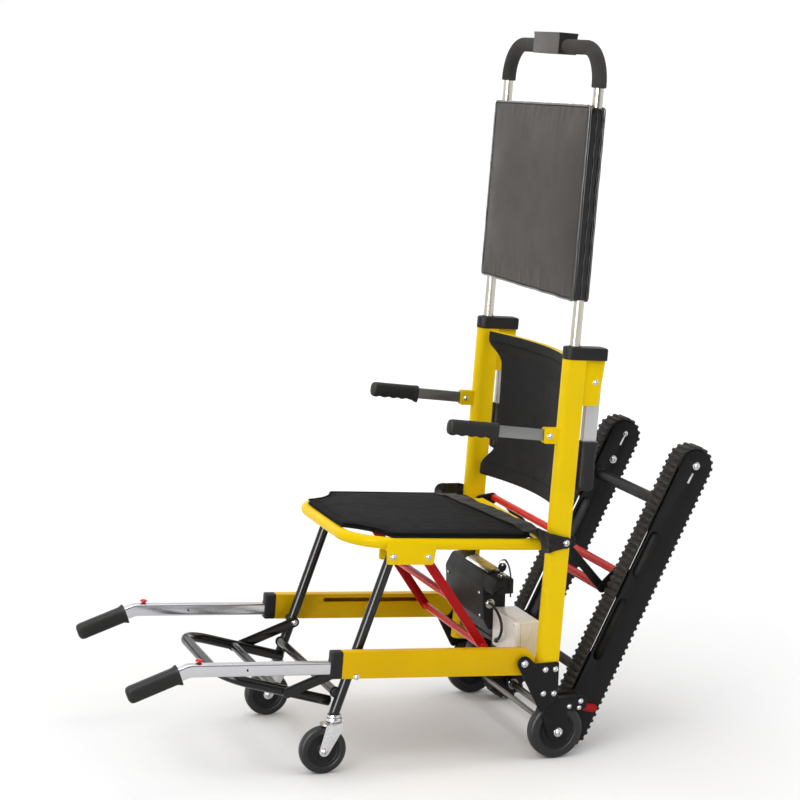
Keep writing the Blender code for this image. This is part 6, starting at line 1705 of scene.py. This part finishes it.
def makeHousing(s):
    f, b = s["front"], s["back"]
    low, high, left, right, step = s["low"], s["high"], s["left"], s["right"], s["step"]
    profile = roundCorners([(b, low, 0.002), (b, high, 0.004), (f + 0.016, high, 0.012),
                            (f, high - 0.030, 0.020), (f + 0.004, low + 0.022, 0.008),
                            (f + 0.016, low, 0.006)], 8)
    brow = roundCorners([(b, s["overhang"], 0.002), (b, high, 0.004), (f + 0.016, high, 0.012),
                         (f + 0.0005, high - 0.029, 0.012), (f + 0.003, s["overhang"], 0.002)], 8)

    def loft(shape, outline, stops):
        cy = sum(p[0] for p in outline) / len(outline)
        cz = sum(p[1] for p in outline) / len(outline)
        addRings(shape, [[Vector((x, cy + (u - cy) * k, cz + (v - cz) * k)) for u, v in outline]
                         for x, k in stops])

    shape = bmesh.new()
    loft(shape, profile, ((right, 0.93), (right + 0.0012, 0.965), (right + 0.003, 0.985),
                          (right + 0.007, 1.0), (step - 0.004, 1.0), (step - 0.001, 0.99), (step, 0.975)))
    loft(shape, brow, ((step - 0.01, 1.0), (left - 0.006, 1.0), (left - 0.0025, 0.985),
                       (left - 0.0008, 0.96), (left, 0.93)))
    # moulded seam under the brow
    addCrossTube(shape, right + 0.006, step - 0.003, f + 0.0011, high - 0.034, 0.0011, 8, 0.0004)
    for x in (-0.15, 0.04):
        for z in (low + 0.03, high - 0.045):
            bolt("back_frame", chairAt @ Vector((x, f + (0.0031 if z < 0.29 else 0.0005), z)), (0, -1, 0),
                 0.0032)
    addPlate(shape, roundedBox(0.030, 0.040, 0.004, 5, f + 0.019, 0.297), step - 0.001, step + 0.0015,
             0.0007)
    for y in (f + 0.018, b - 0.008):
        addCrossTube(shape, s["windowRight"] - 0.004, s["windowLeft"] + 0.004, y, high + 0.0002, 0.0012,
                     8, 0.0012)
    makePiece("driveHousing", shape, chairAt, "moulded", "back_frame", ("drive_housing",))

    shape = bmesh.new()
    wedge = roundCorners([(f + 0.015, high + 0.0004, 0.0), (b - 0.007, high + 0.0004, 0.0),
                          (b - 0.009, high + 0.0098, 0.003), (f + 0.019, high + 0.0047, 0.002)], 5)
    addPlate(shape, wedge, s["windowRight"], s["windowLeft"], 0.001)
    makePiece("displayCover", shape, chairAt, "clear", "back_frame")
    shape = bmesh.new()
    addBlock(shape, (-0.060, 0.020), (f + 0.020, b - 0.013), (high - 0.0005, high + 0.0012), 0.0004)
    for k in range(3):
        y = f + 0.021 + k * 0.006
        addBlock(shape, (0.028, 0.040), (y, y + 0.0035), (high - 0.0005, high + 0.0014), 0.0003)
    makePiece("displayScreen", shape, chairAt, "screen", "back_frame")
    shape = bmesh.new()
    socket = ((0.0034, 0.0), (0.0105, 0.0), (0.0105, 0.0022), (0.0092, 0.0028), (0.0086, 0.0028),
              (0.0084, 0.0052), (0.0078, 0.0058), (0.0034, 0.0058))
    addLathe(shape, socket, *lead["start"][1:], 32, step + 0.001)
    makePiece("leadSocket", shape, chairAt, "bolt", "back_frame")


makeHousing(housing)

motor = {"left": 0.112, "length": 0.150, "radius": 0.031, "fins": 16, "finFrom": 0.026, "finTo": 0.108}


def makeMotor(s):
    shape = bmesh.new()
    x = s["left"]
    r = s["radius"]
    body = ((0.021, 0.0), (0.022, -0.001), (0.022, -0.010), (0.0300, -0.012), (r - 0.0002, -0.0135),
            (r - 0.0002, -0.0225), (0.0270, -0.024), (0.0270, -0.110), (r - 0.0003, -0.1115),
            (r - 0.0003, -0.1435), (0.0290, -0.147), (0.025, -s["length"]))
    addTurned(shape, body, (x, 0, 0), 48, across=True)
    makePiece("driveMotor", shape, motorAt, "blackCoat", "back_frame", ("drive_motor",))
    fin = bmesh.new()
    stops = ((0.90, -0.045), (0.99, -0.045), (1.0, -0.025), (1.0, 0.025), (0.99, 0.045), (0.90, 0.045))
    addTurned(fin, stops, count=36)
    part = partShape("motorFin", fin)
    tree, keys = rowTree(part, "blackCoat", "along")
    line = [motorAt @ Vector((x - s["finFrom"], 0, 0)), motorAt @ Vector((x - s["finTo"], 0, 0))]
    sizes = {"Count": s["fins"], "Part Size": s["radius"] - 0.0003}
    fins = grow("motorFins", line, [(0, 1)], tree, keys, sizes)
    bpy.data.objects.remove(part)
    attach(fins, "back_frame")
    for y, z in circlePoints(0.0165, 4, math.pi / 4):
        bolt("back_frame", motorAt @ Vector((x - 0.0002, y, z)), (1, 0, 0), 0.0026)


makeMotor(motor)

battery = {"x0": 0.065, "x1": 0.195, "front": -0.077, "back": -0.023, "low": 0.205, "high": 0.289,
           "lid": 0.011}


def makeBattery(s):
    shape = bmesh.new()
    cx, cz = (s["x0"] + s["x1"]) / 2, (s["low"] + s["high"]) / 2
    w, h = s["x1"] - s["x0"], s["high"] - s["low"]
    front, back, seam = s["front"], s["back"], s["front"] + s["lid"]
    box = ((back, 0.0022), (back - 0.001, 0.0008), (back - 0.003, 0.0), (seam + 0.0012, 0.0),
           (seam + 0.0012, 0.0012))
    lid = ((seam + 0.0006, 0.0010), (seam, -0.0006), (front + 0.0025, -0.0006), (front + 0.0008, 0.0004),
           (front, 0.002))
    for stops in (box, lid):
        rings = []
        for y, inset in stops:
            section = roundedBox(w - 2 * inset, h - 2 * inset, 0.0055 - inset / 2, 6)
            rings.append([Vector((cx + u, y, cz + v)) for u, v in section])
        addRings(shape, rings)
    for hand in (1, -1):  # screw posts moulded into the corners
        for z in (s["low"] + 0.006, s["high"] - 0.006):
            x = cx + hand * (w / 2 - 0.0065)
            addRod(shape, (x, front + 0.002, z), (x, front - 0.0008, z), 0.0046, xAxis, 20, 0.0006)
            bolt("back_frame", chairAt @ Vector((x, front - 0.0006, z)), (0, -1, 0), 0.0022)
    for k in range(3):  # shallow ribs on the near end
        y, tall = front + 0.020 + k * 0.012, (s["low"] + 0.008, s["high"] - 0.008)
        addBlock(shape, (s["x1"] - 0.001, s["x1"] + 0.0006), (y - 0.0008, y + 0.0008), tall, 0.0004)
    makePiece("batteryBox", shape, chairAt, "milky", "back_frame", ("battery_box",))
    shape = bmesh.new()
    x, _, z = lead["stop"]
    addRod(shape, (x, front + 0.002, z), (x, front - 0.0043, z), 0.0055, xAxis, 24)
    makePiece("leadGland", shape, chairAt, "moulded", "back_frame")


makeBattery(battery)

keySet = {"core": 0.007, "head": 0.0095, "ring": 0.0085}


def makeKey(s):
    shape = bmesh.new()
    for stops in (((0.0098, 0.0002), (0.0098, 0.0014), (0.0088, 0.0022), (0.0074, 0.0024)),
                  ((s["core"], 0.0004), (s["core"], 0.0028), (0.0062, 0.0032))):
        addTurned(shape, stops)
    addBlock(shape, (-0.0011, 0.0011), (-0.0034, 0.0034), (0.0025, 0.013), 0.0003)
    ring = [Vector((0.0016 * v, 0.9 * s["ring"] * v, 0.0300 + 0.55 * s["ring"] * u))
            for u, v in circlePoints(1.0, 40)]
    addTube(shape, ring, 0.0007, xAxis, 8, 0.0002, True)
    makePiece("keyLock", shape, keyAt, "bolt", "key", ("key_switch",))
    shape = bmesh.new()
    head = hullOutline([(0.0, 0.0195, s["head"]), (0.0, 0.0145, 0.0062)])
    hole = [(u, 0.0250 + v) for u, v in circlePoints(0.0026, 20)]
    addPlate(shape, head, -0.0018, 0.0018, 0.0008, [hole])
    makePiece("keyHead", shape, keyAt, "moulded", "key")


makeKey(keySet)

strap = {"wide": 0.0036, "thick": 0.0016,
         "points": ((0, 0, 0.0362), (0.008, 0.003, 0.0375), (0.020, 0.006, 0.028),
                    (0.0288, 0.0075, 0.010), (0.0312, 0.008, -0.012), (0.0315, 0.008, -0.040))}


def makeStrap(s):
    # a short strap through the key's ring, hanging over the housing's end
    path = [keyAt @ p for p, _, _ in smoothRows([(Vector(p), xAxis, 1.0) for p in s["points"]], 6)]
    shape = bmesh.new()
    addSwept(shape, path, roundedBox(s["wide"], s["thick"], 0.0006, 2), yAxis)
    piece = makePiece("keyStrap", shape, None, "grip", "back_frame", (), 50)


makeStrap(strap)
print("drive unit made")


# tracks: plates, beams, ribbed belts, pulleys, stay and lock lever
track = {"half": 0.180, "centres": 0.623, "beltIn": 0.155, "beltOut": 0.205, "plateOut": (0.2062, 0.2102),
         "plateIn": (0.1498, 0.1538), "plateRadius": 0.0345, "inner": 0.037, "body": 0.0035,
         "rib": 0.0045, "ribs": 102, "beam": (0.0165, 0.034, 0.055, 0.563), "shaft": 0.008}


def beltLoop(radius, s, bends=26):
    turns = [(radius * math.cos(math.pi * k / bends), radius * math.sin(math.pi * k / bends))
             for k in range(bends + 1)]
    head = [Vector((0, y, s["centres"] + z)) for y, z in turns]
    foot = [Vector((0, -y, -z)) for y, z in turns]
    return foot[-1:] + head + foot[:-1]


def makeTrackFrame(s):
    shape = bmesh.new()
    long = s["centres"]
    outline = hullOutline([(0, 0, s["plateRadius"]), (0, long, s["plateRadius"])], 64)
    holes = [hullOutline([(-0.018, a, 0.012), (-0.018, b, 0.012)], 32)
             for a, b in ((0.167, 0.288), (0.364, 0.448))]
    holes += [[(u, along + v) for u, v in circlePoints(0.0086, 28)] for along in (0.0, long)]
    slot = hullOutline([(0.0, 0.586, 0.0030), (0.0, 0.606, 0.0030)], 20)
    headSlot = hullOutline([(0.0, 0.603, 0.0030), (0.0, 0.632, 0.0030)], 20)
    offset, wide, start, stop = s["beam"]
    for hand in (1, -1):
        addPlate(shape, outline, hand * s["plateOut"][0], hand * s["plateOut"][1], 0.001, holes + [slot])
        addPlate(shape, outline, hand * s["plateIn"][0], hand * s["plateIn"][1], 0.001,
                 holes[:-1] + [headSlot])
        across = (hand * (s["plateIn"][1] - 0.001), hand * (s["plateOut"][0] + 0.001))
        addBlock(shape, across, (offset - wide / 2, offset + wide / 2), (start, stop), 0.002)
        ear = hullOutline([(-0.03596, 0.06204, 0.014), (-0.014, 0.07404, 0.014), (0.012, 0.05804, 0.012)])
        addPlate(shape, ear, hand * (s["plateOut"][0] + 0.0004), hand * (s["plateOut"][1] - 0.0002), 0.0008)
    inner, (outer, face) = s["plateIn"][0], s["plateOut"]
    for y, z, r, count in ((-0.012, 0.522, 0.013, 36), (0.006, 0.114, 0.011, 32)):
        addCrossTube(shape, -inner - 0.001, inner + 0.001, y, z, r, count)
        weld = ((r - 0.001, -0.003), (r + 0.0014, -0.0018), (r + 0.0026, 0.0), (r - 0.001, 0.0))
        for hand in (1, -1):
            addLathe(shape, handed(weld, hand), y, z, 30, hand * inner)
    strips = bmesh.new()
    for hand in (1, -1):
        across = (hand * (outer + 0.0004), hand * (face - 0.0008))
        addBlock(strips, across, (-0.0026, 0.0026), (0.584, 0.608), 0.0004)
        across = (hand * (inner - 0.0002), hand * (inner + 0.003))
        addBlock(strips, across, (-0.0022, 0.0022), (0.602, 0.626), 0.0004)
    makePiece("slotStrips", strips, driveAt, "bolt", "tracks")
    makePiece("trackFrame", shape, driveAt, "blackCoat", "tracks", ("track_frame",))
    heads = ((long + 0.002, 0.0, 0.0068, face, False), (0.565, -0.0006, 0.0072, inner, True),
             (long + 0.008, 0.0, 0.0048, inner, True), (0.0, 0.0, 0.0066, face, False))
    for along, offset, size, x, inward in heads:
        at = driveAt @ Vector((0, offset, along))
        boltPair("tracks", x, at.y, at.z, size, inward)


def ribPart(s):
    # one cross bar of the tread, with a notch in its middle; its foot is sunk in the belt
    shape = bmesh.new()
    rings = []
    high, foot = s["rib"], 0.0044
    stops = [(0.0018, 0.78, 0.98), (0.0030, 1.0, 1.0), (0.0242, 0.96, 1.0), (0.0250, 0.55, 0.94)]
    for x, top, wide in [(-x, top, wide) for x, top, wide in stops[::-1]] + stops:
        half = [(foot, -0.0006), (0.0033, high * top * 0.62), (0.0025, high * top * 0.94)]
        rings.append([Vector((x, y * wide, z)) for y, z in [(-y, z) for y, z in half] + half[::-1]])
    addRings(shape, rings)
    return partShape("treadRib", shape)


def makeBelts(s):
    part = ribPart(s)
    tree, keys = rowTree(part, "track", "loop")
    for name, sign in sides:
        place = driveAt @ spot(0, 0, 0, sign * s["half"])
        shape = bmesh.new()
        section = roundedBox(s["beltOut"] - s["beltIn"], s["body"], 0.0011, 3)
        addSwept(shape, beltLoop(s["inner"] + s["body"] / 2, s), section, xAxis, True)
        band = makePiece(name + "TrackBand", shape, place, "track")
        line = [place @ p for p in beltLoop(s["inner"] + s["body"], s, 40)]
        edges = [(i, (i + 1) % len(line)) for i in range(len(line))]
        ribs = grow(name + "TrackRibs", line, edges, tree, keys, {"Count": s["ribs"], "Part Size": 1.0})
        joined(name + "TrackBelt", [band, ribs], "track", "tracks", (name + "_track_belt",))
    bpy.data.objects.remove(part)


def pulley(shape, x, s):
    half, rim = 0.024, s["inner"] - 0.0009
    stops = [(s["shaft"], -half), (rim - 0.001, -half), (rim, -half + 0.001), (rim, -half + 0.011),
             (rim - 0.004, -half + 0.014)]
    stops += [(r, -p) for r, p in stops[::-1]]
    addTurned(shape, stops, (x, 0, 0), 56, across=True)


def makePulleys(s):
    shape = bmesh.new()
    addCrossTube(shape, -0.2097, 0.2097, 0, 0, s["shaft"], 28)
    for hand in (1, -1):
        pulley(shape, hand * s["half"], s)
        addCrossTube(shape, hand * 0.118, hand * 0.149, 0, 0, 0.0125, 30)
    makePiece("driveShaft", shape, driveAt, "rod", "drive", ("drive_shaft",))
    for name, sign in sides:
        shape = bmesh.new()
        pulley(shape, 0.0, s)
        addCrossTube(shape, -0.0297, 0.0297, 0, 0, s["shaft"], 28)
        place = driveAt @ spot(0, s["centres"], 0, sign * s["half"])
        makePiece(name + "Idler", shape, place, "moulded", name + "_idle",
                  (name + "_idler",))


makeTrackFrame(track)
makeBelts(track)
makePulleys(track)

stay = {"foot": (0.15092, -0.09926), "knee": (0.116, -0.133), "tube": 0.0095, "head": 0.008,
        "reach": 0.1495, "bar": 0.1355, "thick": 0.005, "wide": 0.020}


def makeStay(s):
    shape = bmesh.new()
    addCrossTube(shape, -s["reach"], s["reach"], *s["foot"], s["tube"])
    addCrossTube(shape, -s["bar"], s["bar"], *s["knee"], s["tube"])
    addCrossTube(shape, -0.2172, 0.2172, 0, 0, s["head"])
    # the stay's tubes take the brighter copy of the red paint: painted highlight
    makePiece("stayTubes", shape, stayAt, "redLitCopy", "stay", ("track_stay",))
    shape = bmesh.new()
    inner, outer, r, half = s["bar"] - s["thick"], s["bar"], s["tube"], s["wide"] / 2
    lowBar = hullOutline([(*s["foot"], half), (*s["knee"], half)])
    highBar = hullOutline([(*s["knee"], half - 0.0002), (0, 0, half - 0.002)])
    ring = ((r - 0.0005, 0.0), (r + 0.0016, 0.0), (r + 0.0016, 0.0012), (r - 0.0005, 0.0012))
    for hand in (1, -1):
        addPlate(shape, lowBar, hand * inner, hand * outer, 0.0009)
        addPlate(shape, highBar, hand * (inner + 0.0003), hand * (outer + 0.0003), 0.0009)
        for y, z in (s["knee"], s["foot"]):
            addLathe(shape, handed(ring, hand), y, z, 28, hand * outer)
    makePiece("stayBars", shape, stayAt, "blackCoat", "stay")


makeStay(stay)

lever = {"inner": 0.2114, "outer": 0.2154, "length": 0.050, "drop": -12.0}


def makeLever(s):
    shape = bmesh.new()
    a = math.radians(s["drop"])
    tip = (s["length"] * math.cos(a), s["length"] * math.sin(a))
    addPlate(shape, hullOutline([(0, 0, 0.008), (*tip, 0.006)]), s["inner"], s["outer"], 0.0007)
    pad = hullOutline([(tip[0] * 0.62, tip[1] * 0.62, 0.0085), (*tip, 0.0085)])
    addPlate(shape, pad, s["inner"] + 0.0002, s["outer"] + 0.004, 0.0012)
    for k in range(4):
        t = 0.66 + 0.1 * k
        x, y, z = s["outer"] + 0.0039, tip[0] * t, tip[1] * t
        addRod(shape, (x, y - 0.0015, z - 0.006), (x, y + 0.0015, z + 0.006), 0.0006, xAxis, 8, 0.0002)
    makePiece("lockLever", shape, leverAt, "red", "lock_lever", ("track_lock_lever",))
    bolt("lock_lever", leverAt @ Vector((s["outer"], 0.010, -0.002)), (1, 0, 0), 0.0030)


makeLever(lever)
print("tracks made")


# all fasteners, one mesh for each body
def makeBolts():
    part = boltPart()
    tree, keys = setTree(part, "bolt")
    for body, rows in bolts.items():
        ways = [c for _, way, _ in rows for c in way]
        piece = grow("bolts_" + body, [place for place, _, _ in rows], [], tree, keys, {"Part Size": 1.0},
                     (("way", "FLOAT_VECTOR", ways), ("size", "FLOAT", [size for _, _, size in rows])))
        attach(piece, body)
    bpy.data.objects.remove(part)


makeBolts()
print("fasteners made")
